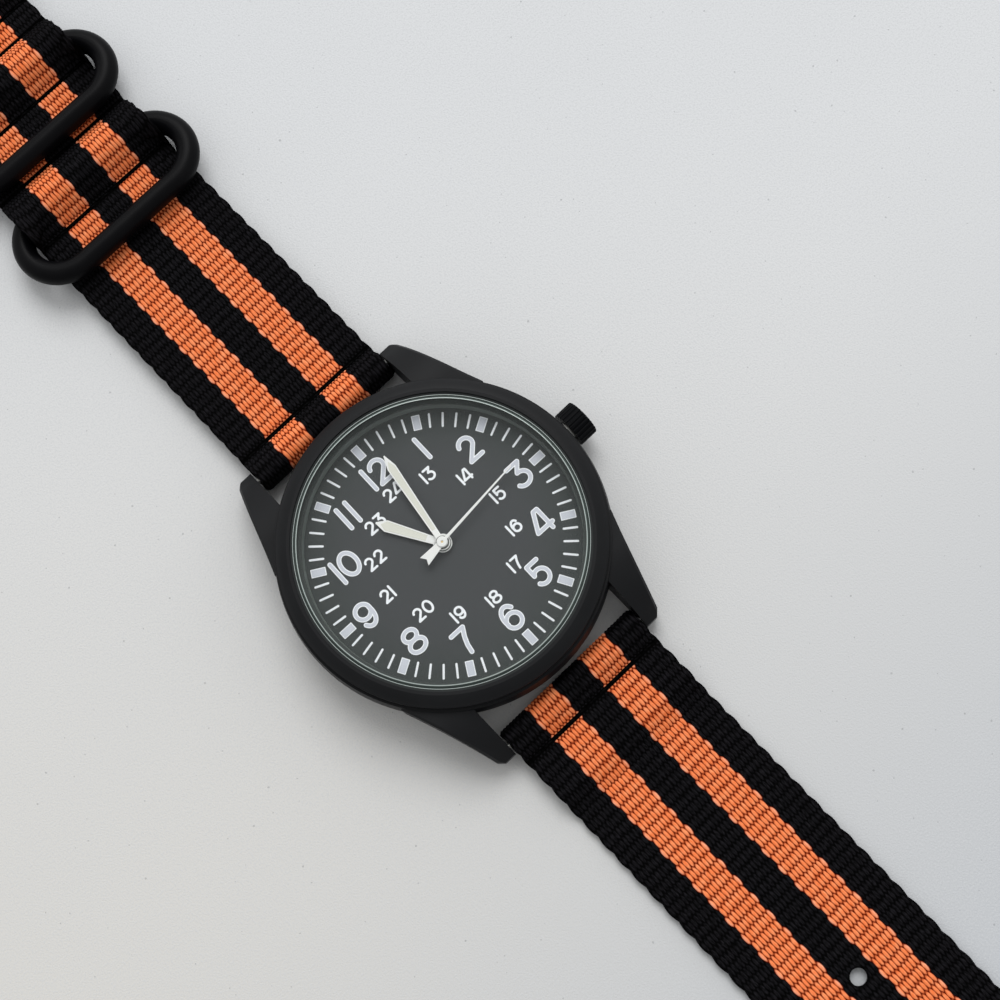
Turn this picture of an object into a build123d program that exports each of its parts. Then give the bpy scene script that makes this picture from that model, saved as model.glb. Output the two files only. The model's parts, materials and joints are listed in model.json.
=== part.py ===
from build123d import *
from math import asin, atan2, cos, degrees, hypot, pi, radians, sin, sqrt
import os

os.makedirs("parts", exist_ok=True)

# A field watch with a 24-hour dial, open and lying on its back.
# +Y runs towards twelve o'clock and the buckle, +X towards the crown, +Z out of the dial.
# The origin is the centre of the case back's outer face.

# Clearances
press_clearance = 0.01
running_clearance = 0.05
loose_clearance = 0.1
overrun = 2.0

# Case: one casting with its bezel
case_radius = 20.6
case_belly_height = 4.9
case_underside = 1.0
case_foot_inset = 1.7
case_foot_top_inset = 0.85
case_foot_top_height = 1.9
bezel_inset = 0.6
bezel_land_width = 0.4
bezel_top_height = 9.35
bezel_edge_height = 8.45
bezel_step_height = 7.4
bezel_step_width = 0.35
bezel_slope_bulge = 0.12
case_wall = 3.15
flange_width = 0.45
flange_thickness = 0.4
back_seat_wall = 0.9
back_seat_height = 2.5

# Lugs
strap_side_gap = 0.1
lug_tip_length = 1.2
lug_tip_width = 2.4
lug_tip_drop_y = 0.75
lug_waist_width = 4.2
lug_waist_from_bar = 5.6
lug_root_direction = 57.1
lug_root_step = 1.8
lug_top_height = 7.3
lug_crest_from_bar = 7.7
lug_shoulder_from_bar = 3.1
lug_shoulder_height = 6.25
lug_tip_top_height = 3.7
lug_tip_facet = 0.9
lug_tip_bottom_height = 0.6
lug_tip_undercut = 0.7
lug_edge_chamfer = 0.3

# Case back: snapped in from below
back_thickness = 1.0
back_slope_width = 1.6
back_rim_width = 0.65
back_rim_height = 2.15
back_edge_height = 0.7
back_gasket_width = 0.45
back_notch_width = 3.0
back_notch_depth = 0.5

# Crystal and its gasket
crystal_ledge = 0.31
crystal_thickness = 1.2
crystal_chamfer = 0.33
crystal_height = 9.25
crystal_gasket_width = 0.38
crystal_gasket_height = 1.05

# Dial and the ring above it
dial_top = 6.2
dial_thickness = 0.4
dial_edge_gap = 0.15
dial_hole_radius = 0.95
dial_foot_radius = 0.4
dial_foot_length = 1.1
dial_foot_place = 11.0
dial_foot_spread = 65.0
dial_turn = -1.0
ring_width = 0.55
ring_lip_width = 0.15

# Hands, with their angles clockwise from the dial's twelve
hour_angle = 330.1
minute_angle = 8.7
second_angle = 84.3
hour_hand_height = 6.6
minute_hand_height = 7.02
second_hand_height = 7.42
hand_thickness = 0.16
second_hand_thickness = 0.1
hour_tip = 8.56
hour_shoulder = 7.25
hour_base_width = 0.85
hour_shoulder_width = 1.45
hour_tip_width = 0.18
hour_hub_radius = 1.15
minute_tip = 12.95
minute_shoulder = 11.2
minute_base_width = 0.72
minute_shoulder_width = 1.15
minute_tip_width = 0.14
minute_hub_radius = 0.95
hand_frame_width = 0.14
lume_inset = 0.9
lume_thickness = 0.12
second_tip = 12.4
second_tip_width = 0.16
second_base_width = 0.38
second_tail = 3.2
second_tail_base_width = 0.7
second_tail_width = 1.4
second_tail_notch = 0.4
second_hub_radius = 0.68
second_hub_height = 0.3
second_hub_bevel = 0.1
second_pipe_radius = 0.3
second_pipe_length = 0.18

# Going train: tooth counts, and how far each arbor stands from its neighbour
rotor_pinion_teeth = 8
fifth_wheel_teeth = 30
fifth_pinion_teeth = 8
fourth_wheel_teeth = 64
fourth_pinion_teeth = 10
third_wheel_teeth = 75
third_pinion_teeth = 8
centre_wheel_teeth = 64
third_distance = 4.25
third_direction = 120.0
fifth_distance = 4.32
fifth_direction = 250.0
rotor_distance = 2.28
rotor_direction = 270.0

# Motion work under the dial
cannon_teeth = 12
minute_wheel_teeth = 36
minute_pinion_teeth = 10
hour_wheel_teeth = 40
setting_wheel_teeth = 30
minute_wheel_distance = 2.6

# Shares of a tooth's pitch or module, the same for all wheels
tooth_root_share = 0.28
tooth_tip_share = 0.12
addendum_share = 0.8
dedendum_share = 1.05

# Levels of the movement, up from the case back's outer face
plate_underside = 3.95
plate_radius = 13.0
recess_floor = 4.25
bridge_underside = 2.1
bridge_thickness = 0.4
bridge_margin = 1.15
fifth_wheel_level = 2.58
fourth_wheel_level = 2.88
third_wheel_level = 3.2
centre_wheel_level = 3.55
wheel_thickness = 0.18
pinion_thickness = 0.26
minute_wheel_level = 4.4
minute_wheel_thickness = 0.22
cannon_level = 4.33
cannon_thickness = 0.4
hour_wheel_level = 5.3
hour_wheel_thickness = 0.2
washer_level = 5.52
washer_thickness = 0.06
arbor_radius = 0.12
second_arbor_radius = 0.15
centre_tube_radius = 0.32
cannon_radius = 0.5
hour_pipe_radius = 0.78
stud_radius = 0.25
hub_radius = 0.45
recess_margin = 0.25

# Motor, battery and circuit
rotor_radius = 0.85
rotor_thickness = 0.5
rotor_level = 2.95
stator_gap = 0.15
stator_level = 3.0
stator_thickness = 0.4
stator_head_radius = 1.55
stator_leg_width = 1.6
stator_post_radius = 0.5
coil_length = 8.6
coil_radius = 1.0
coil_core_radius = 0.35
coil_core_length = 12.8
coil_y = -10.0
coil_height = 2.65
coil_cheek_width = 0.4
coil_cheek_radius = 1.15
battery_radius = 3.4
battery_thickness = 2.6
battery_underside = 2.0
battery_x = 5.6
battery_y = 5.8
battery_cap_radius = 2.7
battery_step = 0.35
battery_pocket_top = 4.85
contact_radius = 2.2
contact_thickness = 0.12
contact_arm_width = 1.2
contact_hole_radius = 1.0
clamp_thickness = 0.18
clamp_reach = 4.4
clamp_width = 2.4
clamp_end_radius = 1.0
board_left_x = -11.2
board_right_x = -6.7
board_half_length = 5.2
board_thickness = 0.25
crystal_can_radius = 0.75
crystal_can_length = 5.0
crystal_can_x = -8.6
crystal_can_y = 1.2
chip_width = 1.8
chip_height = 0.5
chip_x = -8.4
chip_y = -3.6

# Screws of the movement
screw_head_radius = 0.75
screw_head_thickness = 0.3
screw_shank_radius = 0.35
screw_slot_width = 0.2
screw_slot_depth = 0.12
pillar_radius = 0.8
bridge_screw_places = ((-2.1, 8.6), (5.1, -3.5), (-5.7, -2.9))

# Movement holder
holder_ledge_radius = 12.4
holder_foot_gap = 0.15

# Crown, stem and setting parts
stem_height = 3.75
crown_radius = 2.42
crown_gap = 0.35
crown_length = 2.5
crown_dome = 0.25
crown_dome_radius = 2.05
crown_edge_chamfer = 0.12
crown_flutes = 26
crown_flute_radius = 0.2
crown_flute_depth = 0.14
crown_bore_radius = 1.35
crown_bore_depth = 1.3
crown_pull = 1.0
tube_radius = 1.15
tube_bore_radius = 0.62
tube_reach_in = 0.45
tube_reach_out = 0.95
gasket_length = 0.4
gasket_inset = 0.25
stem_radius = 0.5
stem_square = 0.7
stem_square_inner_x = 7.35
stem_square_outer_x = 9.6
stem_pilot_radius = 0.25
stem_pilot_inner_x = 6.6
stem_socket_depth = 0.8
stem_groove_x = 10.3
stem_groove_radius = 0.3
stem_groove_half_width = 0.3
stem_boss_bottom = 2.85
stem_boss_half_width = 1.15
clutch_inner_x = 8.15
clutch_outer_x = 9.25
clutch_radius = 0.95
clutch_tooth_depth = 0.25
clutch_teeth = 12
clutch_tooth_width = 0.2
clutch_waist_width = 0.3
clutch_waist_radius = 0.75
lever_arm = 3.0
lever_level = 2.55
lever_thickness = 0.22
lever_width = 0.8
lever_eye_radius = 0.75
lever_post_radius = 0.4
lever_pin_radius = 0.2

# Spring bars
spring_bar_reach = 2.1
spring_bar_height = 2.3
barrel_radius = 0.75
barrel_bore_radius = 0.48
barrel_end_gap = 1.6
tip_shank_radius = 0.43
tip_shank_depth = 2.9
tip_flange_radius = 0.72
tip_flange_gap = 0.55
tip_flange_thickness = 0.3
tip_pin_radius = 0.4
tip_pin_reach = 0.75
tip_travel = 0.9
lug_hole_radius = 0.48
lug_hole_depth = 1.0
spring_end_gap = 0.2
spring_wall = 0.14

# Strap webbing
strap_width = 21.8
web = 1.2
layer_gap = 0.05
seam_from_bar = 3.05
tail_from_bar = 8.3
seam_depth = 0.3
seam_width = 0.5
seam_bend_radius = 1.2
tail_bend_radius = 3.0
long_half_length = 120.0
long_taper_length = 9.7
long_nose_radius = 4.5
hole_radius = 1.05
hole_count = 8
hole_pitch = 7.5
first_hole_from_bar = 47.3
short_half_length = 75.3
lining_start_gap = 0.6
lining_end_from_buckle = 7.4
lining_gap = 0.3

# Keeper rings: thick wire bent to an oval, each held by one bar in a sewn pocket
wire_radius = 1.5
keeper_side_gap = 0.35
keeper_width = 13.3
keeper_from_buckle = 28.9
keeper_pitch = 16.2
keeper_count = 2
pocket_half_length = 4.2
pocket_clearance = 0.15
pocket_bend_radius = 0.9
pocket_waist_reach = 0.95

# Buckle: frame of the same wire, and its tongue
buckle_depth = 12.0
buckle_side_gap = 0.2
buckle_corner_near = 1.6
buckle_corner_far = 4.5
buckle_seam_reach = 4.6
tongue_width = 2.6
tongue_eye_wall = 0.9
tongue_slot_clearance = 0.3
tongue_slot_reach = 3.9
tongue_tip_rise = 1.45

# Sizes and places worked out from those above: case, bezel, crystal and dial
case_foot_radius = case_radius - case_foot_inset
case_foot_top_radius = case_radius - case_foot_top_inset
bezel_radius = case_radius - bezel_inset
case_bore_radius = case_radius - case_wall
flange_radius = case_bore_radius - flange_width
back_seat_radius = case_foot_radius - back_seat_wall
back_flat_radius = back_seat_radius - back_slope_width
crystal_radius = case_bore_radius + crystal_ledge
dial_radius = case_bore_radius - dial_edge_gap
ring_inner_radius = case_bore_radius - ring_width
holder_foot_radius = (back_seat_radius - running_clearance - back_rim_width
                      - holder_foot_gap)

# Lugs and the spring bars between them
lug_gap = strap_width + 2 * strap_side_gap
spring_bar_y = case_radius + spring_bar_reach
lug_tip_y = spring_bar_y + lug_tip_length
lug_tip_x = lug_gap / 2 + lug_tip_width
lug_waist_x = lug_gap / 2 + lug_waist_width
lug_waist_y = spring_bar_y - lug_waist_from_bar
lug_root_x = case_radius * sin(radians(lug_root_direction))
lug_root_y = case_radius * cos(radians(lug_root_direction))
lug_inner_root_y = lug_root_y + lug_root_step
lug_crest_y = spring_bar_y - lug_crest_from_bar
lug_shoulder_y = spring_bar_y - lug_shoulder_from_bar
barrel_half_length = lug_gap / 2 - barrel_end_gap
tip_flange_inner_x = lug_gap / 2 - tip_flange_gap
tip_shank_inner_x = lug_gap / 2 - tip_shank_depth
tip_pin_outer_x = lug_gap / 2 + tip_pin_reach
spring_half_length = tip_shank_inner_x - tip_travel - spring_end_gap

# Crown on its tube
crown_inner_x = case_radius + crown_gap
crown_outer_x = crown_inner_x + crown_length
tube_inner_x = case_bore_radius - tube_reach_in
tube_outer_x = crown_inner_x + tube_reach_out
gasket_inner_x = crown_inner_x + gasket_inset

# Strap, keeper rings and buckle, measured from the spring bar
seam_y = spring_bar_y + seam_from_bar
tail_end_y = spring_bar_y + tail_from_bar
long_tip_y = spring_bar_y + long_half_length
long_taper_y = long_tip_y - long_taper_length
first_hole_y = spring_bar_y + first_hole_from_bar
buckle_bar_y = spring_bar_y + short_half_length
keeper_bar_y = buckle_bar_y - keeper_from_buckle
lining_start_y = tail_end_y + lining_start_gap
lining_end_y = buckle_bar_y - lining_end_from_buckle
keeper_length = strap_width + 2 * (keeper_side_gap + 2 * wire_radius)
buckle_length = strap_width + 2 * (buckle_side_gap + 2 * wire_radius)
pocket_waist = (keeper_length - keeper_width) / 2 + pocket_waist_reach

# Movement
stator_hole_radius = rotor_radius + stator_gap
leg_x = coil_core_length / 2 - stator_leg_width / 2
leg_bend_y = coil_y + coil_cheek_radius + 2 * loose_clearance
stator_post_places = ((-leg_x, leg_bend_y), (leg_x, leg_bend_y))
crystal_seat = crystal_height - crystal_thickness
flange_bottom = crystal_seat - flange_thickness
bezel_bore_radius = crystal_radius + crystal_gasket_width + 2 * press_clearance
dial_underside = dial_top - dial_thickness
battery_centre = (battery_x, battery_y)
battery_reach = hypot(battery_x, battery_y)
setting_distance = (minute_wheel_distance * (minute_wheel_teeth + setting_wheel_teeth)
                    / (cannon_teeth + minute_wheel_teeth))
clamp_screw_places = tuple(
    (battery_x - side * clamp_reach * battery_y / battery_reach,
     battery_y + side * clamp_reach * battery_x / battery_reach)
    for side in (-1, 1))


def polar(distance, direction, start=(0.0, 0.0)):
    """The point at a distance and a direction in degrees from a start point."""
    angle = radians(direction)
    return (start[0] + distance * cos(angle), start[1] + distance * sin(angle))


third_place = polar(third_distance, third_direction)
fifth_place = polar(fifth_distance, fifth_direction)
rotor_place = polar(rotor_distance, rotor_direction, fifth_place)
minute_wheel_place = (minute_wheel_distance, 0.0)
setting_wheel_place = (minute_wheel_distance + setting_distance, 0.0)


def module_of(distance, teeth_a, teeth_b):
    """The module at which two wheels mesh over a distance."""
    return 2 * distance / (teeth_a + teeth_b)


third_module = module_of(third_distance, fourth_pinion_teeth, third_wheel_teeth)
centre_module = module_of(third_distance, third_pinion_teeth, centre_wheel_teeth)
fifth_module = module_of(fifth_distance, fifth_pinion_teeth, fourth_wheel_teeth)
rotor_module = module_of(rotor_distance, rotor_pinion_teeth, fifth_wheel_teeth)
cannon_module = module_of(minute_wheel_distance, cannon_teeth, minute_wheel_teeth)
hour_module = module_of(minute_wheel_distance, minute_pinion_teeth, hour_wheel_teeth)


def mesh_phase(phase_a, teeth_a, teeth_b, direction):
    """The angle of wheel B's first tooth that puts a gap of B before a tooth of A.

    All angles are in turns. The direction is from A to B.
    """
    tooth_at_line = ((direction - phase_a) * teeth_a) % 1
    return direction + 1 / 2 - (1 / 2 - tooth_at_line) / teeth_b


def direction_between(place_a, place_b):
    """The direction from A to B in turns."""
    return atan2(place_b[1] - place_a[1], place_b[0] - place_a[0]) / (2 * pi)


def draw_gear(teeth, module, phase):
    """A toothed outline in the open sketch: root, flank, tip and flank of each tooth."""
    root = module * (teeth / 2 - dedendum_share)
    tip = module * (teeth / 2 + addendum_share)
    corners = (
        (-tooth_root_share, root),
        (-tooth_tip_share, tip),
        (tooth_tip_share, tip),
        (tooth_root_share, root),
    )
    points = []
    for tooth in range(teeth):
        for share, radius in corners:
            turn = 2 * pi * (phase + (tooth + share) / teeth)
            points.append((radius * cos(turn), radius * sin(turn)))
    with BuildLine() as outline:
        Polyline(*points, close=True)
    make_face(outline.line)


def hull_of(places, radius):
    """The rounded plate round several places, drawn in the open sketch."""
    with BuildSketch(mode=Mode.PRIVATE) as rounds:
        with Locations(*places):
            Circle(radius)
    make_hull(rounds.edges())


def disc(radius, bottom, top, place=(0.0, 0.0), mode=Mode.ADD):
    """A round boss or hole between two heights, in the open part."""
    with BuildSketch(Plane.XY.offset(bottom)) as outline:
        with Locations(place):
            Circle(radius)
    extrude(outline.sketch, amount=top - bottom, mode=mode)


def rod_x(radius, inner_x, outer_x, y, height, mode=Mode.ADD):
    """A round bar or hole along X between two places, in the open part."""
    plane = Plane(origin=(inner_x, y, height), x_dir=(0, 1, 0), z_dir=(1, 0, 0))
    with BuildSketch(plane) as outline:
        Circle(radius)
    extrude(outline.sketch, amount=outer_x - inner_x, mode=mode)


def finish(piece, name):
    """Name a finished piece and write it."""
    piece.part.label = name
    export_step(piece.part, f"parts/{name}.step")


# Lug: its plan cut to its side view
with BuildPart() as lug_blank:
    with BuildSketch():
        with BuildLine():
            Polyline(
                (lug_root_x, lug_root_y),
                (lug_root_x - (lug_root_x - lug_gap / 2) / 2, lug_root_y),
                (lug_gap / 2, lug_inner_root_y),
                (lug_gap / 2, lug_tip_y),
                (lug_tip_x - lug_tip_drop_y, lug_tip_y),
                (lug_tip_x, lug_tip_y - lug_tip_drop_y),
            )
            ThreePointArc(
                (lug_tip_x, lug_tip_y - lug_tip_drop_y),
                (lug_waist_x, lug_waist_y),
                (lug_root_x, lug_root_y),
            )
        make_face()
    extrude(amount=bezel_top_height)
    with BuildSketch(Plane.YZ):
        with BuildLine():
            Polyline(
                (lug_crest_y, lug_top_height),
                (0, lug_top_height),
                (0, case_underside),
                (lug_shoulder_y, case_underside),
                (lug_tip_y - lug_tip_undercut, lug_tip_bottom_height),
                (lug_tip_y, lug_tip_bottom_height + lug_tip_undercut),
                (lug_tip_y, lug_tip_top_height - lug_tip_facet),
                (lug_tip_y - lug_tip_facet, lug_tip_top_height),
            )
            ThreePointArc(
                (lug_tip_y - lug_tip_facet, lug_tip_top_height),
                (lug_shoulder_y, lug_shoulder_height),
                (lug_crest_y, lug_top_height),
            )
        make_face()
    extrude(amount=case_radius + overrun, mode=Mode.INTERSECT)
    crest_edges = lug_blank.edges().filter_by(GeomType.BSPLINE)
    chamfer(crest_edges, lug_edge_chamfer)

# Case: turned body, four lugs, then the inside, the stem hole and the spring bar holes
with BuildPart() as case_middle:
    with BuildSketch(Plane.XZ):
        with BuildLine():
            Polyline(
                (case_foot_top_radius, case_foot_top_height),
                (case_foot_radius, case_underside),
                (0, case_underside),
                (0, bezel_top_height),
                (bezel_bore_radius + bezel_land_width, bezel_top_height),
            )
            ThreePointArc(
                (bezel_bore_radius + bezel_land_width, bezel_top_height),
                ((bezel_bore_radius + bezel_land_width + bezel_radius) / 2,
                 (bezel_top_height + bezel_edge_height) / 2 + bezel_slope_bulge),
                (bezel_radius, bezel_edge_height),
            )
            Polyline(
                (bezel_radius, bezel_edge_height),
                (bezel_radius, bezel_step_height),
                (bezel_radius + bezel_step_width, bezel_step_height),
            )
            ThreePointArc(
                (bezel_radius + bezel_step_width, bezel_step_height),
                (case_radius, case_belly_height),
                (case_foot_top_radius, case_foot_top_height),
            )
        make_face()
    revolve(axis=Axis.Z)
    add(lug_blank.part)
    mirror(lug_blank.part, about=Plane.YZ)
    mirror(lug_blank.part, about=Plane.XZ)
    mirror(mirror(lug_blank.part, about=Plane.YZ, mode=Mode.PRIVATE), about=Plane.XZ)
    with BuildSketch(Plane.XZ):
        with BuildLine():
            Polyline(
                (0, case_underside - overrun),
                (back_seat_radius, case_underside - overrun),
                (back_seat_radius, back_seat_height),
                (case_bore_radius, back_seat_height),
                (case_bore_radius, flange_bottom),
                (flange_radius, flange_bottom),
                (flange_radius, crystal_seat),
                (bezel_bore_radius, crystal_seat),
                (bezel_bore_radius, bezel_top_height + overrun),
                (0, bezel_top_height + overrun),
                close=True,
            )
        make_face()
    revolve(axis=Axis.Z, mode=Mode.SUBTRACT)
    rod_x(tube_radius + press_clearance, case_bore_radius - overrun, case_radius + overrun,
          0.0, stem_height, Mode.SUBTRACT)
    for y in (-spring_bar_y, spring_bar_y):
        rod_x(lug_hole_radius, -lug_gap / 2 - lug_hole_depth, lug_gap / 2 + lug_hole_depth,
              y, spring_bar_height, Mode.SUBTRACT)
finish(case_middle, "case_middle")

# Case back: a shallow dish whose rim snaps into the seat, with a notch to prise it out
with BuildPart() as case_back:
    back_radius = back_seat_radius - running_clearance
    with BuildSketch(Plane.XZ):
        with BuildLine():
            Polyline(
                (0, 0),
                (back_flat_radius, 0),
                (back_radius, back_edge_height),
                (back_radius, back_rim_height),
                (back_radius - back_rim_width, back_rim_height),
                (back_radius - back_rim_width, back_thickness),
                (0, back_thickness),
                close=True,
            )
        make_face()
    revolve(axis=Axis.Z)
    with BuildSketch(Plane.XY.offset(back_edge_height - back_notch_depth)):
        with Locations((0, -back_radius)):
            Rectangle(back_notch_width, 2 * back_notch_depth)
    extrude(amount=back_notch_depth, mode=Mode.SUBTRACT)
finish(case_back, "case_back")

with BuildPart() as case_back_gasket:
    with BuildSketch(Plane.XY.offset(back_rim_height)):
        Circle(back_radius)
        Circle(back_radius - back_gasket_width, mode=Mode.SUBTRACT)
    extrude(amount=back_seat_height - back_rim_height)
finish(case_back_gasket, "case_back_gasket")

# Crystal: a flat disc with a bevelled edge
with BuildPart() as crystal:
    disc(crystal_radius, crystal_seat, crystal_height)
    chamfer(crystal.edges().group_by(Axis.Z)[-1], crystal_chamfer)
finish(crystal, "crystal")

with BuildPart() as crystal_gasket:
    with BuildSketch(Plane.XY.offset(crystal_seat)):
        Circle(bezel_bore_radius - press_clearance)
        Circle(crystal_radius + press_clearance, mode=Mode.SUBTRACT)
    extrude(amount=crystal_gasket_height)
finish(crystal_gasket, "crystal_gasket")

# Dial with two feet, and the ring that stands on it
with BuildPart() as dial:
    disc(dial_radius, dial_underside, dial_top)
    for side in (-1, 1):
        disc(dial_foot_radius, dial_underside - dial_foot_length, dial_underside,
             polar(dial_foot_place, 180 + side * dial_foot_spread))
    disc(dial_hole_radius, dial_underside - overrun, dial_top + overrun, mode=Mode.SUBTRACT)
finish(dial, "dial")

with BuildPart() as dial_ring:
    with BuildSketch(Plane.XZ):
        with BuildLine():
            Polyline(
                (ring_inner_radius, dial_top),
                (case_bore_radius - running_clearance, dial_top),
                (case_bore_radius - running_clearance, flange_bottom),
                (ring_inner_radius + ring_lip_width, flange_bottom),
                close=True,
            )
        make_face()
    revolve(axis=Axis.Z)
finish(dial_ring, "dial_ring")


def draw_blade(tip, shoulder, base_width, shoulder_width, tip_width):
    """A hand's blade along +Y: narrow at the hub, widest at the shoulder, then a point."""
    with BuildLine() as outline:
        Polyline(
            (-base_width / 2, 0),
            (-shoulder_width / 2, shoulder),
            (-tip_width / 2, tip),
            (tip_width / 2, tip),
            (shoulder_width / 2, shoulder),
            (base_width / 2, 0),
            close=True,
        )
    make_face(outline.line)


def draw_window(shoulder, base_width, shoulder_width, hub, point):
    """The opening of a blade that holds its luminous filling."""
    start = hub + lume_inset
    grown = base_width + (shoulder_width - base_width) * start / shoulder
    with BuildLine() as outline:
        Polyline(
            (-grown / 2 + hand_frame_width, start),
            (-shoulder_width / 2 + hand_frame_width, shoulder),
            (0, shoulder + point),
            (shoulder_width / 2 - hand_frame_width, shoulder),
            (grown / 2 - hand_frame_width, start),
            close=True,
        )
    make_face(outline.line)


def hand_plane(height, angle):
    """The plane of a hand, with its Y along the hand at rest."""
    return Plane.XY.offset(height).rotated((0, 0, dial_turn - angle))


blades = (
    ("hour", hour_hand_height, hour_angle, hour_tip, hour_shoulder, hour_base_width,
     hour_shoulder_width, hour_tip_width, hour_hub_radius, hour_pipe_radius),
    ("minute", minute_hand_height, minute_angle, minute_tip, minute_shoulder,
     minute_base_width, minute_shoulder_width, minute_tip_width, minute_hub_radius,
     cannon_radius),
)
for (name, height, angle, tip, shoulder, base, widest, point, hub, bore) in blades:
    window = (shoulder, base, widest, hub, (tip - shoulder) / 2)
    with BuildPart() as hand:
        with BuildSketch(hand_plane(height, angle)):
            draw_blade(tip, shoulder, base, widest, point)
            Circle(hub)
            Circle(bore + press_clearance, mode=Mode.SUBTRACT)
        extrude(amount=hand_thickness)
        with BuildSketch(hand_plane(height + hand_thickness - lume_thickness, angle)):
            draw_window(*window)
        extrude(amount=hand_thickness, mode=Mode.SUBTRACT)
    finish(hand, f"{name}_hand")
    with BuildPart() as lume:
        with BuildSketch(hand_plane(height + hand_thickness - lume_thickness, angle)):
            draw_window(*window)
            offset(amount=-press_clearance, mode=Mode.REPLACE)
        extrude(amount=lume_thickness)
    finish(lume, f"{name}_lume")

# Second hand: needle, swallow tail and the bored disc over its pipe
with BuildPart() as second_hand:
    plane = hand_plane(second_hand_height, second_angle)
    with BuildSketch(plane):
        with BuildLine():
            Polyline(
                (-second_base_width / 2, 0),
                (-second_tip_width / 2, second_tip),
                (second_tip_width / 2, second_tip),
                (second_base_width / 2, 0),
                close=True,
            )
        make_face()
        with BuildLine():
            Polyline(
                (-second_tail_base_width / 2, 0),
                (-second_tail_width / 2, -second_tail),
                (0, second_tail_notch - second_tail),
                (second_tail_width / 2, -second_tail),
                (second_tail_base_width / 2, 0),
                close=True,
            )
        make_face()
        Circle(second_hub_radius)
    extrude(amount=second_hand_thickness)
    disc(second_hub_radius, second_hand_height, second_hand_height + second_hub_height)
    chamfer(second_hand.edges().group_by(Axis.Z)[-1], second_hub_bevel)
    disc(second_pipe_radius, second_hand_height - second_pipe_length, second_hand_height)
    disc(second_arbor_radius + press_clearance, second_hand_height - overrun,
         second_hand_height + overrun, mode=Mode.SUBTRACT)
finish(second_hand, "second_hand")

# Going train, placed so that every pair is in mesh at rest
fourth_phase = 0.0
third_line = direction_between((0, 0), third_place)
fifth_line = direction_between((0, 0), fifth_place)
rotor_line = direction_between(fifth_place, rotor_place)
third_phase = mesh_phase(fourth_phase, fourth_pinion_teeth, third_wheel_teeth, third_line)
centre_phase = mesh_phase(third_phase, third_pinion_teeth, centre_wheel_teeth,
                          third_line + 1 / 2)
fifth_phase = mesh_phase(fourth_phase, fourth_wheel_teeth, fifth_pinion_teeth, fifth_line)
rotor_phase = mesh_phase(fifth_phase, fifth_wheel_teeth, rotor_pinion_teeth, rotor_line)
arbor_bottom = bridge_underside + running_clearance
arbor_top = recess_floor


def gear_on(place, teeth, module, phase, level, thickness):
    """A toothed disc on its arbor, in the open part."""
    plane = Plane.XY.offset(level).move(Location((place[0], place[1], 0)))
    with BuildSketch(plane) as outline:
        draw_gear(teeth, module, phase)
    extrude(outline.sketch, amount=thickness)


with BuildPart() as fourth_wheel:
    gear_on((0, 0), fourth_wheel_teeth, fifth_module, fourth_phase, fourth_wheel_level,
            wheel_thickness)
    gear_on((0, 0), fourth_pinion_teeth, third_module, fourth_phase, third_wheel_level,
            pinion_thickness)
    disc(second_arbor_radius, arbor_bottom, second_hand_height + second_hand_thickness)
finish(fourth_wheel, "fourth_wheel")

with BuildPart() as third_wheel:
    gear_on(third_place, third_wheel_teeth, third_module, third_phase, third_wheel_level,
            wheel_thickness)
    gear_on(third_place, third_pinion_teeth, centre_module, third_phase,
            centre_wheel_level, pinion_thickness)
    disc(arbor_radius, arbor_bottom, arbor_top, third_place)
finish(third_wheel, "third_wheel")

with BuildPart() as centre_wheel:
    gear_on((0, 0), centre_wheel_teeth, centre_module, centre_phase, centre_wheel_level,
            wheel_thickness)
    disc(centre_tube_radius, centre_wheel_level, minute_hand_height)
    disc(second_arbor_radius + running_clearance, 0, minute_hand_height + overrun,
         mode=Mode.SUBTRACT)
finish(centre_wheel, "centre_wheel")

with BuildPart() as fifth_wheel:
    gear_on(fifth_place, fifth_wheel_teeth, rotor_module, fifth_phase, fifth_wheel_level,
            wheel_thickness)
    gear_on(fifth_place, fifth_pinion_teeth, fifth_module, fifth_phase,
            fourth_wheel_level, pinion_thickness)
    disc(arbor_radius, arbor_bottom, arbor_top, fifth_place)
finish(fifth_wheel, "fifth_wheel")

with BuildPart() as rotor:
    gear_on(rotor_place, rotor_pinion_teeth, rotor_module, rotor_phase, fifth_wheel_level,
            pinion_thickness)
    disc(rotor_radius, rotor_level, rotor_level + rotor_thickness, rotor_place)
    disc(arbor_radius, arbor_bottom, arbor_top, rotor_place)
finish(rotor, "rotor")

# Motion work: cannon pinion, minute wheel, hour wheel and the washer that steadies it
cannon_phase = 0.0
minute_wheel_phase = mesh_phase(cannon_phase, cannon_teeth, minute_wheel_teeth, 0)
hour_wheel_phase = mesh_phase(minute_wheel_phase, minute_pinion_teeth, hour_wheel_teeth,
                              1 / 2)
setting_wheel_phase = mesh_phase(minute_wheel_phase, minute_wheel_teeth,
                                 setting_wheel_teeth, 0)

with BuildPart() as cannon_pinion:
    gear_on((0, 0), cannon_teeth, cannon_module, cannon_phase, cannon_level,
            cannon_thickness)
    disc(cannon_radius, cannon_level, minute_hand_height + hand_thickness)
    disc(centre_tube_radius + press_clearance, 0, minute_hand_height + overrun,
         mode=Mode.SUBTRACT)
finish(cannon_pinion, "cannon_pinion")

with BuildPart() as minute_wheel:
    gear_on(minute_wheel_place, minute_wheel_teeth, cannon_module, minute_wheel_phase,
            minute_wheel_level, minute_wheel_thickness)
    gear_on(minute_wheel_place, minute_pinion_teeth, hour_module, minute_wheel_phase,
            minute_wheel_level,
            hour_wheel_level + hour_wheel_thickness - minute_wheel_level)
    disc(stud_radius + running_clearance, 0, dial_underside, minute_wheel_place,
         Mode.SUBTRACT)
finish(minute_wheel, "minute_wheel")

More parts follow.
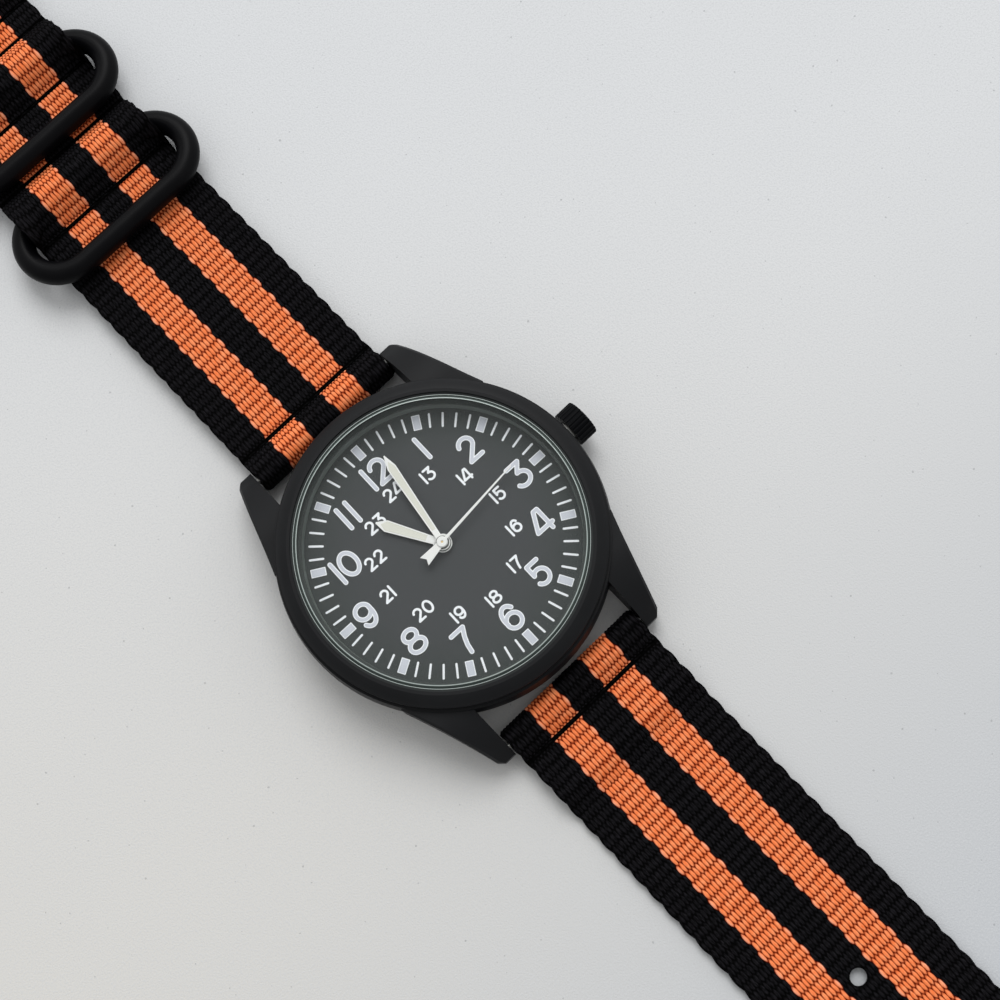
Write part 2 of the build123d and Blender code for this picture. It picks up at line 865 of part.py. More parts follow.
with BuildPart() as hour_wheel:
    gear_on((0, 0), hour_wheel_teeth, hour_module, hour_wheel_phase, hour_wheel_level,
            hour_wheel_thickness)
    disc(hour_pipe_radius, hour_wheel_level, hour_hand_height + hand_thickness)
    disc(cannon_radius + running_clearance, 0, minute_hand_height, mode=Mode.SUBTRACT)
finish(hour_wheel, "hour_wheel")

with BuildPart() as dial_washer:
    with BuildSketch(Plane.XY.offset(washer_level)):
        Circle(hour_pipe_radius + hub_radius)
        Circle(hour_pipe_radius + running_clearance, mode=Mode.SUBTRACT)
    extrude(amount=washer_thickness)
finish(dial_washer, "dial_washer")

with BuildPart() as setting_wheel:
    gear_on(setting_wheel_place, setting_wheel_teeth, cannon_module, setting_wheel_phase,
            minute_wheel_level, minute_wheel_thickness)
    disc(hub_radius + running_clearance, minute_wheel_level,
         minute_wheel_level + 2 * minute_wheel_thickness, setting_wheel_place)
    disc(stud_radius + running_clearance, 0, dial_underside, setting_wheel_place,
         Mode.SUBTRACT)
finish(setting_wheel, "setting_wheel")

# Main plate: a disc cut for the motion work, the battery and the stem
battery_pocket_radius = battery_radius + loose_clearance
lever_pivot = (stem_groove_x + crown_pull / 2, -lever_arm)
outer_boss_x = stem_groove_x + crown_pull + lever_pin_radius + loose_clearance
with BuildPart() as main_plate:
    disc(plate_radius, plate_underside, dial_underside)
    recess_rounds = (
        ((0, 0), hour_module * (hour_wheel_teeth / 2 + addendum_share)),
        (minute_wheel_place, cannon_module * (minute_wheel_teeth / 2 + addendum_share)),
        (setting_wheel_place, cannon_module * (setting_wheel_teeth / 2 + addendum_share)),
    )
    for place, radius in recess_rounds:
        disc(radius + recess_margin, recess_floor, dial_underside + overrun, place,
             Mode.SUBTRACT)
    for place in (minute_wheel_place, setting_wheel_place):
        disc(stud_radius, recess_floor, hour_wheel_level + hour_wheel_thickness, place)
    disc(battery_pocket_radius, 0, battery_pocket_top, battery_centre, Mode.SUBTRACT)
    for place in bridge_screw_places:
        disc(pillar_radius, bridge_underside + bridge_thickness, plate_underside, place)
    for place in clamp_screw_places:
        disc(pillar_radius, battery_underside, plate_underside, place)
    for place in stator_post_places:
        disc(stator_post_radius, stator_level + stator_thickness, plate_underside, place)
    with BuildSketch(Plane.XY.offset(stem_boss_bottom)):
        with Locations(((stem_square_inner_x + stem_pilot_inner_x) / 2, 0)):
            Rectangle(stem_square_inner_x - stem_pilot_inner_x, 2 * stem_boss_half_width)
        with Locations(((outer_boss_x + plate_radius) / 2, 0)):
            Rectangle(plate_radius - outer_boss_x, 2 * stem_boss_half_width)
    extrude(amount=plate_underside - stem_boss_bottom)
    rod_x(clutch_radius + loose_clearance, stem_square_inner_x, stem_square_outer_x,
          0.0, stem_height, Mode.SUBTRACT)
    rod_x(stem_radius + running_clearance, stem_square_inner_x, plate_radius + overrun,
          0.0, stem_height, Mode.SUBTRACT)
    rod_x(stem_pilot_radius + running_clearance, stem_pilot_inner_x, stem_square_inner_x,
          0.0, stem_height, Mode.SUBTRACT)
    disc(centre_tube_radius + running_clearance, 0, dial_underside, mode=Mode.SUBTRACT)
    for place in (third_place, fifth_place, rotor_place):
        disc(arbor_radius + running_clearance, 0, recess_floor + running_clearance, place,
             Mode.SUBTRACT)
    for place in bridge_screw_places + clamp_screw_places:
        disc(screw_shank_radius + press_clearance, 0, recess_floor, place, Mode.SUBTRACT)
    for side in (-1, 1):
        disc(dial_foot_radius + running_clearance, dial_underside - dial_foot_length
             - running_clearance, dial_underside + overrun,
             polar(dial_foot_place, 180 + side * dial_foot_spread), Mode.SUBTRACT)
    disc(lever_post_radius, lever_level - lever_thickness, plate_underside, lever_pivot)
finish(main_plate, "main_plate")

# Train bridge: a plate over the wheels, with a hole for each arbor
with BuildPart() as train_bridge:
    with BuildSketch(Plane.XY.offset(bridge_underside)):
        hull_of(bridge_screw_places + (rotor_place,), bridge_margin)
    extrude(amount=bridge_thickness)
    for place in ((0, 0), third_place, fifth_place, rotor_place):
        radius = second_arbor_radius if place == (0, 0) else arbor_radius
        disc(radius + running_clearance, 0, plate_underside, place, Mode.SUBTRACT)
    for place in bridge_screw_places:
        disc(screw_shank_radius + press_clearance, 0, plate_underside, place,
             Mode.SUBTRACT)
finish(train_bridge, "train_bridge")


def draw_screw(place, seat):
    """A slotted screw under a plate, its head below the seat and its shank above."""
    disc(screw_head_radius, seat - screw_head_thickness, seat, place)
    disc(screw_shank_radius, seat, recess_floor - running_clearance, place)
    with BuildSketch(Plane.XY.offset(seat - screw_head_thickness)) as slot:
        with Locations(place):
            Rectangle(2 * screw_head_radius + press_clearance, screw_slot_width)
    extrude(slot.sketch, amount=screw_slot_depth, mode=Mode.SUBTRACT)


with BuildPart() as bridge_screws:
    for place in bridge_screw_places:
        draw_screw(place, bridge_underside)
finish(bridge_screws, "bridge_screws")

# Battery, its contact above and its clamp below
with BuildPart() as battery:
    disc(battery_radius, battery_underside,
         battery_underside + battery_thickness - battery_step, battery_centre)
    disc(battery_cap_radius, battery_underside, battery_underside + battery_thickness,
         battery_centre)
finish(battery, "battery")

contact_level = battery_underside + battery_thickness
with BuildPart() as battery_contact:
    with BuildSketch(Plane.XY.offset(contact_level)):
        with Locations(battery_centre):
            Circle(contact_radius)
            Circle(contact_hole_radius, mode=Mode.SUBTRACT)
            with Locations((-(contact_hole_radius + battery_radius) / 2, 0)):
                Rectangle(battery_radius - contact_hole_radius, contact_arm_width)
    extrude(amount=contact_thickness)
finish(battery_contact, "battery_contact")

clamp_turn = degrees(atan2(battery_x, -battery_y))
clamp_bottom = battery_underside - clamp_thickness
with BuildPart() as battery_clamp:
    with BuildSketch(Plane.XY.offset(clamp_bottom)):
        with Locations(Location((battery_x, battery_y, 0), (0, 0, clamp_turn))):
            Rectangle(2 * clamp_reach, clamp_width)
        with Locations(*clamp_screw_places):
            Circle(clamp_end_radius)
            Circle(screw_shank_radius + press_clearance, mode=Mode.SUBTRACT)
    extrude(amount=clamp_thickness)
finish(battery_clamp, "battery_clamp")

with BuildPart() as clamp_screws:
    for place in clamp_screw_places:
        draw_screw(place, clamp_bottom)
finish(clamp_screws, "clamp_screws")

# Circuit board under the plate, with its quartz crystal and its chip
with BuildPart() as circuit_board:
    with BuildSketch(Plane.XY.offset(plate_underside - board_thickness)):
        with Locations(((board_left_x + board_right_x) / 2, 0)):
            Rectangle(board_right_x - board_left_x, 2 * board_half_length)
        Circle(holder_ledge_radius - loose_clearance, mode=Mode.INTERSECT)
    extrude(amount=board_thickness)
    with BuildSketch(Plane.XY.offset(plate_underside - board_thickness - chip_height)):
        with Locations((chip_x, chip_y)):
            Rectangle(chip_width, chip_width)
    extrude(amount=chip_height)
finish(circuit_board, "circuit_board")

can_height = plate_underside - board_thickness - crystal_can_radius
with BuildPart() as quartz_crystal:
    with BuildSketch(Plane.XZ.offset(-crystal_can_y - crystal_can_length / 2)):
        with Locations((crystal_can_x, can_height)):
            Circle(crystal_can_radius)
    extrude(amount=crystal_can_length)
finish(quartz_crystal, "quartz_crystal")

# Motor: stator plate round the rotor, and a coil on its core
with BuildPart() as stator:
    with BuildSketch(Plane.XY.offset(stator_level)):
        with Locations(rotor_place):
            Circle(stator_head_radius)
        for side in (-1, 1):
            with BuildLine():
                Polyline(
                    (rotor_place[0], rotor_place[1] + stator_leg_width / 2),
                    (side * leg_x, rotor_place[1] - stator_leg_width / 2),
                    (side * (leg_x + stator_leg_width / 2), leg_bend_y),
                    (side * (leg_x + stator_leg_width / 2), coil_y - coil_core_radius),
                    (side * (leg_x - stator_leg_width / 2), coil_y - coil_core_radius),
                    (side * (leg_x - stator_leg_width / 2), leg_bend_y),
                    (rotor_place[0], rotor_place[1] - stator_leg_width / 2),
                    close=True,
                )
            make_face()
        with Locations(rotor_place):
            Circle(stator_hole_radius, mode=Mode.SUBTRACT)
    extrude(amount=stator_thickness)
finish(stator, "stator")

with BuildPart() as coil_core:
    rod_x(coil_core_radius, -coil_core_length / 2, coil_core_length / 2, coil_y, coil_height)
finish(coil_core, "coil_core")

with BuildPart() as coil:
    rod_x(coil_radius, -coil_length / 2, coil_length / 2, coil_y, coil_height)
    for start in (-coil_length / 2 - coil_cheek_width, coil_length / 2):
        rod_x(coil_cheek_radius, start, start + coil_cheek_width, coil_y, coil_height)
    rod_x(coil_core_radius + press_clearance, -coil_length, coil_length, coil_y,
          coil_height, Mode.SUBTRACT)
finish(coil, "coil")

# Movement holder: a plastic ring on the case back, with a ledge under the main plate
with BuildPart() as movement_holder:
    with BuildSketch(Plane.XZ):
        with BuildLine():
            Polyline(
                (holder_ledge_radius, back_thickness),
                (holder_foot_radius, back_thickness),
                (holder_foot_radius, back_seat_height),
                (case_bore_radius - loose_clearance, back_seat_height),
                (case_bore_radius - loose_clearance, dial_underside),
                (plate_radius + loose_clearance, dial_underside),
                (plate_radius + loose_clearance, plate_underside),
                (holder_ledge_radius, plate_underside),
                close=True,
            )
        make_face()
    revolve(axis=Axis.Z)
    with BuildSketch(Plane.XY.offset(stem_height - tube_radius - running_clearance)):
        with Locations(((holder_ledge_radius + case_bore_radius) / 2, 0)):
            Rectangle(case_bore_radius - holder_ledge_radius + overrun,
                      2 * (tube_radius + running_clearance))
    extrude(amount=2 * (tube_radius + running_clearance), mode=Mode.SUBTRACT)
finish(movement_holder, "movement_holder")

# Crown: fluted round its edge, hollow for the tube and the gasket
with BuildPart() as crown:
    crown_plane = Plane(origin=(crown_inner_x, 0, stem_height), x_dir=(0, 1, 0),
                        z_dir=(1, 0, 0))
    with BuildSketch(crown_plane):
        Circle(crown_radius)
        with PolarLocations(crown_radius + crown_flute_radius - crown_flute_depth,
                            crown_flutes):
            Circle(crown_flute_radius, mode=Mode.SUBTRACT)
    extrude(amount=crown_outer_x - crown_inner_x)
    chamfer(crown.edges().group_by(Axis.X)[-1], crown_edge_chamfer)
    with BuildSketch(Plane.XZ):
        with BuildLine():
            TangentArc(
                (crown_outer_x + crown_dome, stem_height),
                (crown_outer_x, stem_height + crown_dome_radius),
                tangent=(0, 1),
            )
            Polyline(
                (crown_outer_x + crown_dome, stem_height),
                (crown_outer_x, stem_height),
                (crown_outer_x, stem_height + crown_dome_radius),
            )
        make_face()
    revolve(axis=Axis((0, 0, stem_height), (1, 0, 0)))
    rod_x(crown_bore_radius, crown_inner_x - overrun, crown_inner_x + crown_bore_depth,
          0.0, stem_height, Mode.SUBTRACT)
    rod_x(stem_radius + press_clearance, crown_inner_x, crown_inner_x + crown_bore_depth
          + stem_socket_depth, 0.0, stem_height, Mode.SUBTRACT)
finish(crown, "crown")

with BuildPart() as crown_tube:
    rod_x(tube_radius, tube_inner_x, tube_outer_x, 0.0, stem_height)
    rod_x(tube_bore_radius, tube_inner_x - overrun, tube_outer_x + overrun, 0.0,
          stem_height, Mode.SUBTRACT)
finish(crown_tube, "crown_tube")

with BuildPart() as crown_gasket:
    rod_x(crown_bore_radius - press_clearance, gasket_inner_x, gasket_inner_x
          + gasket_length, 0.0, stem_height)
    rod_x(tube_radius + running_clearance, gasket_inner_x - overrun, gasket_inner_x
          + gasket_length + overrun, 0.0, stem_height, Mode.SUBTRACT)
finish(crown_gasket, "crown_gasket")

# Stem: pilot, square for the clutch wheel, groove for the lever and the socket end
with BuildPart() as stem:
    rod_x(stem_pilot_radius, stem_pilot_inner_x + running_clearance, stem_square_inner_x,
          0.0, stem_height)
    square_plane = Plane(origin=(stem_square_inner_x, 0, stem_height), x_dir=(0, 1, 0),
                         z_dir=(1, 0, 0))
    with BuildSketch(square_plane):
        Rectangle(stem_square, stem_square)
    extrude(amount=stem_square_outer_x - stem_square_inner_x)
    rod_x(stem_radius, stem_square_outer_x, crown_inner_x + crown_bore_depth
          + stem_socket_depth, 0.0, stem_height)
    groove_start = stem_groove_x - stem_groove_half_width
    groove_plane = Plane(origin=(groove_start, 0, stem_height), x_dir=(0, 1, 0),
                         z_dir=(1, 0, 0))
    with BuildSketch(groove_plane):
        Circle(stem_radius + overrun)
        Circle(stem_groove_radius, mode=Mode.SUBTRACT)
    extrude(amount=2 * stem_groove_half_width, mode=Mode.SUBTRACT)
finish(stem, "stem")

# Clutch wheel: slides on the stem's square, with face teeth towards the setting wheel
with BuildPart() as clutch_wheel:
    rod_x(clutch_radius, clutch_inner_x, clutch_outer_x, 0.0, stem_height)
    clutch_plane = Plane(origin=(clutch_inner_x, 0, stem_height), x_dir=(0, 1, 0),
                         z_dir=(1, 0, 0))
    with BuildSketch(clutch_plane):
        with PolarLocations(clutch_radius, clutch_teeth):
            Rectangle(clutch_radius, clutch_tooth_width)
    extrude(amount=clutch_tooth_depth, mode=Mode.SUBTRACT)
    waist_plane = Plane(origin=(clutch_outer_x - 2 * clutch_waist_width, 0, stem_height),
                        x_dir=(0, 1, 0), z_dir=(1, 0, 0))
    with BuildSketch(waist_plane):
        Circle(clutch_radius + overrun)
        Circle(clutch_waist_radius, mode=Mode.SUBTRACT)
    extrude(amount=clutch_waist_width, mode=Mode.SUBTRACT)
    with BuildSketch(clutch_plane):
        Rectangle(stem_square + 2 * running_clearance, stem_square + 2 * running_clearance)
    extrude(amount=clutch_outer_x - clutch_inner_x, mode=Mode.SUBTRACT)
finish(clutch_wheel, "clutch_wheel")

# Setting lever: turns on a post of the plate, its pin in the stem's groove
lever_pin_place = (stem_groove_x, sqrt(lever_arm ** 2 - (crown_pull / 2) ** 2) - lever_arm)
with BuildPart() as setting_lever:
    with BuildSketch(Plane.XY.offset(lever_level)):
        hull_of((lever_pivot,), lever_eye_radius)
    extrude(amount=lever_thickness)
    with BuildSketch(Plane.XY.offset(lever_level)):
        hull_of((lever_pivot, lever_pin_place), lever_width / 2)
    extrude(amount=lever_thickness)
    disc(lever_pin_radius, lever_level, stem_height - stem_groove_radius
         - running_clearance, lever_pin_place)
    disc(lever_post_radius + running_clearance, 0, plate_underside, lever_pivot,
         Mode.SUBTRACT)
finish(setting_lever, "setting_lever")

# Spring bars: a barrel and a spring across each end, and one tip in each lug
with BuildPart() as spring_bar_barrels:
    for y in (-spring_bar_y, spring_bar_y):
        rod_x(barrel_radius, -barrel_half_length, barrel_half_length, y, spring_bar_height)
        rod_x(barrel_bore_radius, -barrel_half_length - overrun,
              barrel_half_length + overrun, y, spring_bar_height, Mode.SUBTRACT)
finish(spring_bar_barrels, "spring_bar_barrels")

with BuildPart() as spring_bar_springs:
    spring_radius = barrel_bore_radius - running_clearance
    for y in (-spring_bar_y, spring_bar_y):
        rod_x(spring_radius, -spring_half_length, spring_half_length, y,
              spring_bar_height)
        rod_x(spring_radius - spring_wall, -spring_half_length - overrun,
              spring_half_length + overrun, y, spring_bar_height, Mode.SUBTRACT)
finish(spring_bar_springs, "spring_bar_springs")

for end, y in (("six", -spring_bar_y), ("twelve", spring_bar_y)):
    for hand_side, side in (("left", -1), ("right", 1)):
        with BuildPart() as bar_tip:
            rod_x(tip_shank_radius, tip_shank_inner_x, tip_flange_inner_x, y,
                  spring_bar_height)
            rod_x(tip_flange_radius, tip_flange_inner_x,
                  tip_flange_inner_x + tip_flange_thickness, y, spring_bar_height)
            rod_x(tip_pin_radius, tip_flange_inner_x, tip_pin_outer_x, y,
                  spring_bar_height)
            if side < 0:
                mirror(about=Plane.YZ, mode=Mode.REPLACE)
        finish(bar_tip, f"bar_tip_{end}_{hand_side}")

# Strap: each half is drawn edge-on, as webbing led over round bends


def side_plane(side):
    """The plane of a strap half seen edge-on, its X pointing away from the case."""
    return Plane(origin=(0, 0, 0), x_dir=(0, side, 0), z_dir=(side, 0, 0))


def belt_face(bends, shift):
    """The start, middle and end of every bend on one face of a belt.

    A bend is the y and z of its centre and its radius: positive turns left, negative
    turns right, and an end of the belt has none. The shift is to the left.
    """
    runs = []
    for (y, z, radius), (next_y, next_z, next_radius) in zip(bends, bends[1:]):
        reach = hypot(next_y - y, next_z - z)
        runs.append(atan2(next_z - z, next_y - y) - asin((next_radius - radius) / reach))
    face = []
    for (y, z, radius), before, after in zip(bends, runs[:1] + runs, runs + runs[-1:]):
        turn = (after - before) % (2 * pi)
        if radius <= 0:
            turn = -((before - after) % (2 * pi))
        swing = radius - shift
        face.append([
            (y + swing * sin(angle), z - swing * cos(angle))
            for angle in (before, before + turn / 2, after)
        ])
    return face


def draw_belt(bends, thickness):
    """A belt of one thickness, its middle line led over bends, in the open sketch."""
    with BuildLine() as outline:
        ends = []
        for shift in (thickness / 2, -thickness / 2):
            face = belt_face(bends, shift)
            for bend, next_bend in zip(face, face[1:]):
                Line(bend[-1], next_bend[0])
            for bend in face[1:-1]:
                ThreePointArc(*bend)
            ends.append((face[0][0], face[-1][0]))
        Line(ends[0][0], ends[1][0])
        Line(ends[0][1], ends[1][1])
    make_face(outline.line)


low = web / 2
high = web + layer_gap + web / 2
bar_loop = (
    (tail_end_y, low, 0),
    (seam_y + seam_width, low + tail_bend_radius, -tail_bend_radius),
    (spring_bar_y, spring_bar_height, -(barrel_radius + running_clearance + web / 2)),
    (seam_y, high + seam_bend_radius, seam_bend_radius),
)


def draw_seam(y):
    """A seam's thread pressed into the upper face, in the open sketch."""
    with Locations((y, high + web / 2)):
        Rectangle(seam_width, 2 * seam_depth, mode=Mode.SUBTRACT)


def draw_tack(y):
    """Two layers of one webbing joined by a seam, in the open sketch."""
    with Locations((y, (low + high) / 2)):
        Rectangle(seam_width, web)
    draw_seam(y)


with BuildPart() as strap_long:
    with BuildSketch(side_plane(-1)):
        draw_belt(
            bar_loop + (
                (tail_end_y + seam_width, high - seam_bend_radius, -seam_bend_radius),
                (tail_end_y + 3 * web, low + seam_bend_radius, seam_bend_radius),
                (long_tip_y, low, 0),
            ),
            web,
        )
        draw_tack(seam_y)
    extrude(amount=strap_width / 2, both=True)
    with BuildSketch():
        with Locations((0, -long_taper_y / 2)):
            Rectangle(strap_width, long_taper_y)
        with Locations((0, -long_tip_y + long_nose_radius)):
            Circle(long_nose_radius)
        make_hull()
    extrude(amount=case_radius, mode=Mode.INTERSECT)
    with BuildSketch():
        for index in range(hole_count):
            with Locations((0, -first_hole_y - index * hole_pitch)):
                Circle(hole_radius)
    extrude(amount=web + overrun, mode=Mode.SUBTRACT)
finish(strap_long, "strap_long")

keeper_bars = tuple(keeper_bar_y + index * keeper_pitch for index in range(keeper_count))
far_bar_height = web + running_clearance + wire_radius
pocket_radius = wire_radius + pocket_clearance + web / 2
buckle_loop_radius = wire_radius + running_clearance + web / 2
buckle_seam_y = buckle_bar_y - buckle_seam_reach
pockets = ()
for bar_y in keeper_bars:
    pockets += (
        (bar_y - pocket_half_length, high + pocket_bend_radius, pocket_bend_radius),
        (bar_y, far_bar_height, -pocket_radius),
        (bar_y + pocket_half_length, high + pocket_bend_radius, pocket_bend_radius),
    )
with BuildPart() as strap_short:
    with BuildSketch(side_plane(1)):
        draw_belt(
            bar_loop + pockets + (
                (buckle_seam_y, high + pocket_bend_radius, pocket_bend_radius),
                (buckle_bar_y, low + buckle_loop_radius, -buckle_loop_radius),
                (lining_end_y + lining_gap, low, 0),
            ),
            web,
        )
        draw_tack(seam_y)
        draw_tack(buckle_seam_y)
        for bar_y in keeper_bars:
            draw_seam(bar_y - pocket_half_length)
            draw_seam(bar_y + pocket_half_length)
    extrude(amount=strap_width / 2, both=True)
    # The upper layer is narrower where the rings' round ends turn beside it
    with BuildSketch(Plane.XY.offset(web)):
        for bar_y in keeper_bars:
            near_y = bar_y - pocket_half_length - seam_width
            far_y = bar_y + wire_radius + pocket_clearance
            for side in (-1, 1):
                with Locations((side * (pocket_waist + strap_width) / 2, (near_y + far_y) / 2)):
                    Rectangle(strap_width - pocket_waist, far_y - near_y)
    extrude(amount=bezel_top_height, mode=Mode.SUBTRACT)
    with BuildSketch():
        with Locations((0, buckle_bar_y)):
            Rectangle(tongue_width + 2 * tongue_slot_clearance, 2 * tongue_slot_reach)
        with Locations((0, buckle_bar_y + buckle_loop_radius)):
            Rectangle(tongue_width + 2 * tongue_slot_clearance, 2 * buckle_loop_radius)
    extrude(amount=bezel_top_height, mode=Mode.SUBTRACT)
finish(strap_short, "strap_short")

with BuildPart() as strap_lining:
    with BuildSketch():
        with Locations((0, (lining_start_y + lining_end_y) / 2)):
            Rectangle(strap_width, lining_end_y - lining_start_y)
    extrude(amount=web)
    for bar_y in keeper_bars:
        with BuildSketch():
            for y in (bar_y - pocket_half_length, bar_y + pocket_half_length):
                with Locations((0, y)):
                    Rectangle(strap_width, seam_width)
        extrude(amount=seam_depth, mode=Mode.SUBTRACT)
finish(strap_lining, "strap_lining")

# Keeper rings: one bar of each lies in its pocket, the other rests on the strap
keeper_span = keeper_width - 2 * wire_radius
near_bar_height = 2 * web + layer_gap + wire_radius + 2 * loose_clearance
keeper_rise = asin((near_bar_height - far_bar_height) / keeper_span)
for name, bar_y in zip(("near", "far"), keeper_bars):
    with BuildPart() as keeper_ring:
        ring_plane = Plane(origin=(0, bar_y, far_bar_height), x_dir=(1, 0, 0),
                           z_dir=(0, -sin(keeper_rise), -cos(keeper_rise)))
        bar_end = (keeper_length - keeper_width) / 2
        with BuildLine(ring_plane) as ring_path:
            Line((-bar_end, 0), (bar_end, 0))
            ThreePointArc((bar_end, 0), (bar_end + keeper_span / 2, keeper_span / 2),
                          (bar_end, keeper_span))
            Line((bar_end, keeper_span), (-bar_end, keeper_span))
            ThreePointArc((-bar_end, keeper_span),
                          (-bar_end - keeper_span / 2, keeper_span / 2), (-bar_end, 0))
        with BuildSketch(Plane(origin=ring_path.line @ 0, z_dir=(1, 0, 0))):
            Circle(wire_radius)
        sweep()
    finish(keeper_ring, f"keeper_ring_{name}")

# Buckle frame: the same wire, from the bar in the strap's end to the bar on the table
buckle_drop = asin((far_bar_height - wire_radius) / buckle_depth)
side_x = buckle_length / 2 - wire_radius
with BuildPart() as buckle_frame:
    frame_plane = Plane(origin=(0, buckle_bar_y, far_bar_height), x_dir=(1, 0, 0),
                        z_dir=(0, sin(buckle_drop), cos(buckle_drop)))
    with BuildLine(frame_plane) as frame_path:
        FilletPolyline(
            (-side_x, 0), (side_x, 0), (side_x, buckle_depth), (-side_x, buckle_depth),
            radius=(buckle_corner_near, buckle_corner_near,
                    buckle_corner_far, buckle_corner_far),
            close=True,
        )
    with BuildSketch(Plane(origin=(0, buckle_bar_y, far_bar_height), z_dir=(1, 0, 0))):
        Circle(wire_radius)
    sweep(path=frame_path.line)
finish(buckle_frame, "buckle_frame")

# Buckle tongue: an eye on the bar and a blade whose end droops over the far bar
far_bar_y = buckle_bar_y + buckle_depth * cos(buckle_drop)
blade_radius = wire_radius + running_clearance + tongue_eye_wall / 2
with BuildPart() as buckle_tongue:
    with BuildSketch(side_plane(1)):
        draw_belt(
            (
                (buckle_bar_y, far_bar_height + blade_radius, 0),
                (far_bar_y, wire_radius, -blade_radius),
                (far_bar_y + blade_radius, wire_radius + tongue_tip_rise, 0),
            ),
            tongue_eye_wall,
        )
        with Locations((buckle_bar_y, far_bar_height)):
            Circle(blade_radius + tongue_eye_wall / 2)
            Circle(wire_radius + running_clearance, mode=Mode.SUBTRACT)
    extrude(amount=tongue_width / 2, both=True)
finish(buckle_tongue, "buckle_tongue")
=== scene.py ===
import json
import logging
import math
from dataclasses import dataclass, field
from enum import Enum
from typing import Callable, Optional, Union

import bmesh
import bpy
import numpy as np
from mathutils import Matrix, Vector


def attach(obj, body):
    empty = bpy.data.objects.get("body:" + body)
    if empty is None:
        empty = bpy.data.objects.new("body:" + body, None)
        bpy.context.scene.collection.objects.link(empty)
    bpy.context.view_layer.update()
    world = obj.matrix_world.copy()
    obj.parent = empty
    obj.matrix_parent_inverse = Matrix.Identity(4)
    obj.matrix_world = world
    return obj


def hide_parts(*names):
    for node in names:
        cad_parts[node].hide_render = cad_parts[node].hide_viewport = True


# The field watch lies on its back: +Y towards twelve o'clock and the buckle, +X towards the
# crown. Sizes below are in millimetres and become metres where a mesh is made.
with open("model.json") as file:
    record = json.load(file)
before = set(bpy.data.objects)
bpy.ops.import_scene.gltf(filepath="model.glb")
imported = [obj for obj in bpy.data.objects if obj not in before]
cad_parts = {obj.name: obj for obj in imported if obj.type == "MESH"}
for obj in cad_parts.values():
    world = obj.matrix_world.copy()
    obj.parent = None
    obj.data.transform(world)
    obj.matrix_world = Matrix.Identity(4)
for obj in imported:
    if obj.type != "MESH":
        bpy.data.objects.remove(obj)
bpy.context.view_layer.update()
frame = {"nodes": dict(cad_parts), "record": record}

MM = 0.001
FULL_TURN = 2 * math.pi
log = logging.getLogger("field_watch")
Number = Union[float, int]
Colour = tuple[float, float, float, float]
Span = tuple[float, float]
Bend = tuple[float, float, float]


def paint(red: int, green: int, blue: int) -> Colour:
    """Turn a screen colour into the linear colour that a shader takes.

    Args:
        red, green, blue: The colour from 0 to 255.

    Returns:
        The linear colour with an alpha of 1.
    """
    shares = [value / 255 for value in (red, green, blue)]
    linear = [s / 12.92 if s <= 0.04045 else ((s + 0.055) / 1.055) ** 2.4 for s in shares]
    return (*linear, 1.0)


class Wire:
    """A socket of a material, on which Python's operators add the nodes of a sum."""

    def __init__(self, graph: "Graph", socket: bpy.types.NodeSocket) -> None:
        """Hold a socket and the graph that it belongs to."""
        self.graph = graph
        self.socket = socket

    def __add__(self, other: "Value") -> "Wire":
        """Add a value."""
        return self.graph.maths("ADD", self, other)

    def __radd__(self, other: Number) -> "Wire":
        """Add to a number."""
        return self.graph.maths("ADD", other, self)

    def __sub__(self, other: "Value") -> "Wire":
        """Take a value away."""
        return self.graph.maths("SUBTRACT", self, other)

    def __rsub__(self, other: Number) -> "Wire":
        """Take this away from a number."""
        return self.graph.maths("SUBTRACT", other, self)

    def __mul__(self, other: "Value") -> "Wire":
        """Multiply by a value."""
        return self.graph.maths("MULTIPLY", self, other)

    def __rmul__(self, other: Number) -> "Wire":
        """Multiply a number."""
        return self.graph.maths("MULTIPLY", other, self)

    def __truediv__(self, other: "Value") -> "Wire":
        """Divide by a value."""
        return self.graph.maths("DIVIDE", self, other)

    def __pow__(self, other: Number) -> "Wire":
        """Raise to a power."""
        return self.graph.maths("POWER", self, other)

    def __abs__(self) -> "Wire":
        """Drop the sign."""
        return self.graph.maths("ABSOLUTE", self)

    def floor(self) -> "Wire":
        """Round down."""
        return self.graph.maths("FLOOR", self)

    def highest(self, other: "Value") -> "Wire":
        """Take the larger of two values."""
        return self.graph.maths("MAXIMUM", self, other)

    def below(self, limit: "Value") -> "Wire":
        """Give 1 where this is under a limit and 0 elsewhere."""
        return self.graph.maths("LESS_THAN", self, limit)

    def between(self, low: Number, high: Number) -> "Wire":
        """Rise smoothly from 0 at one value to 1 at another."""
        return self.graph.between(self, low, high)


Value = Union[Wire, Number]


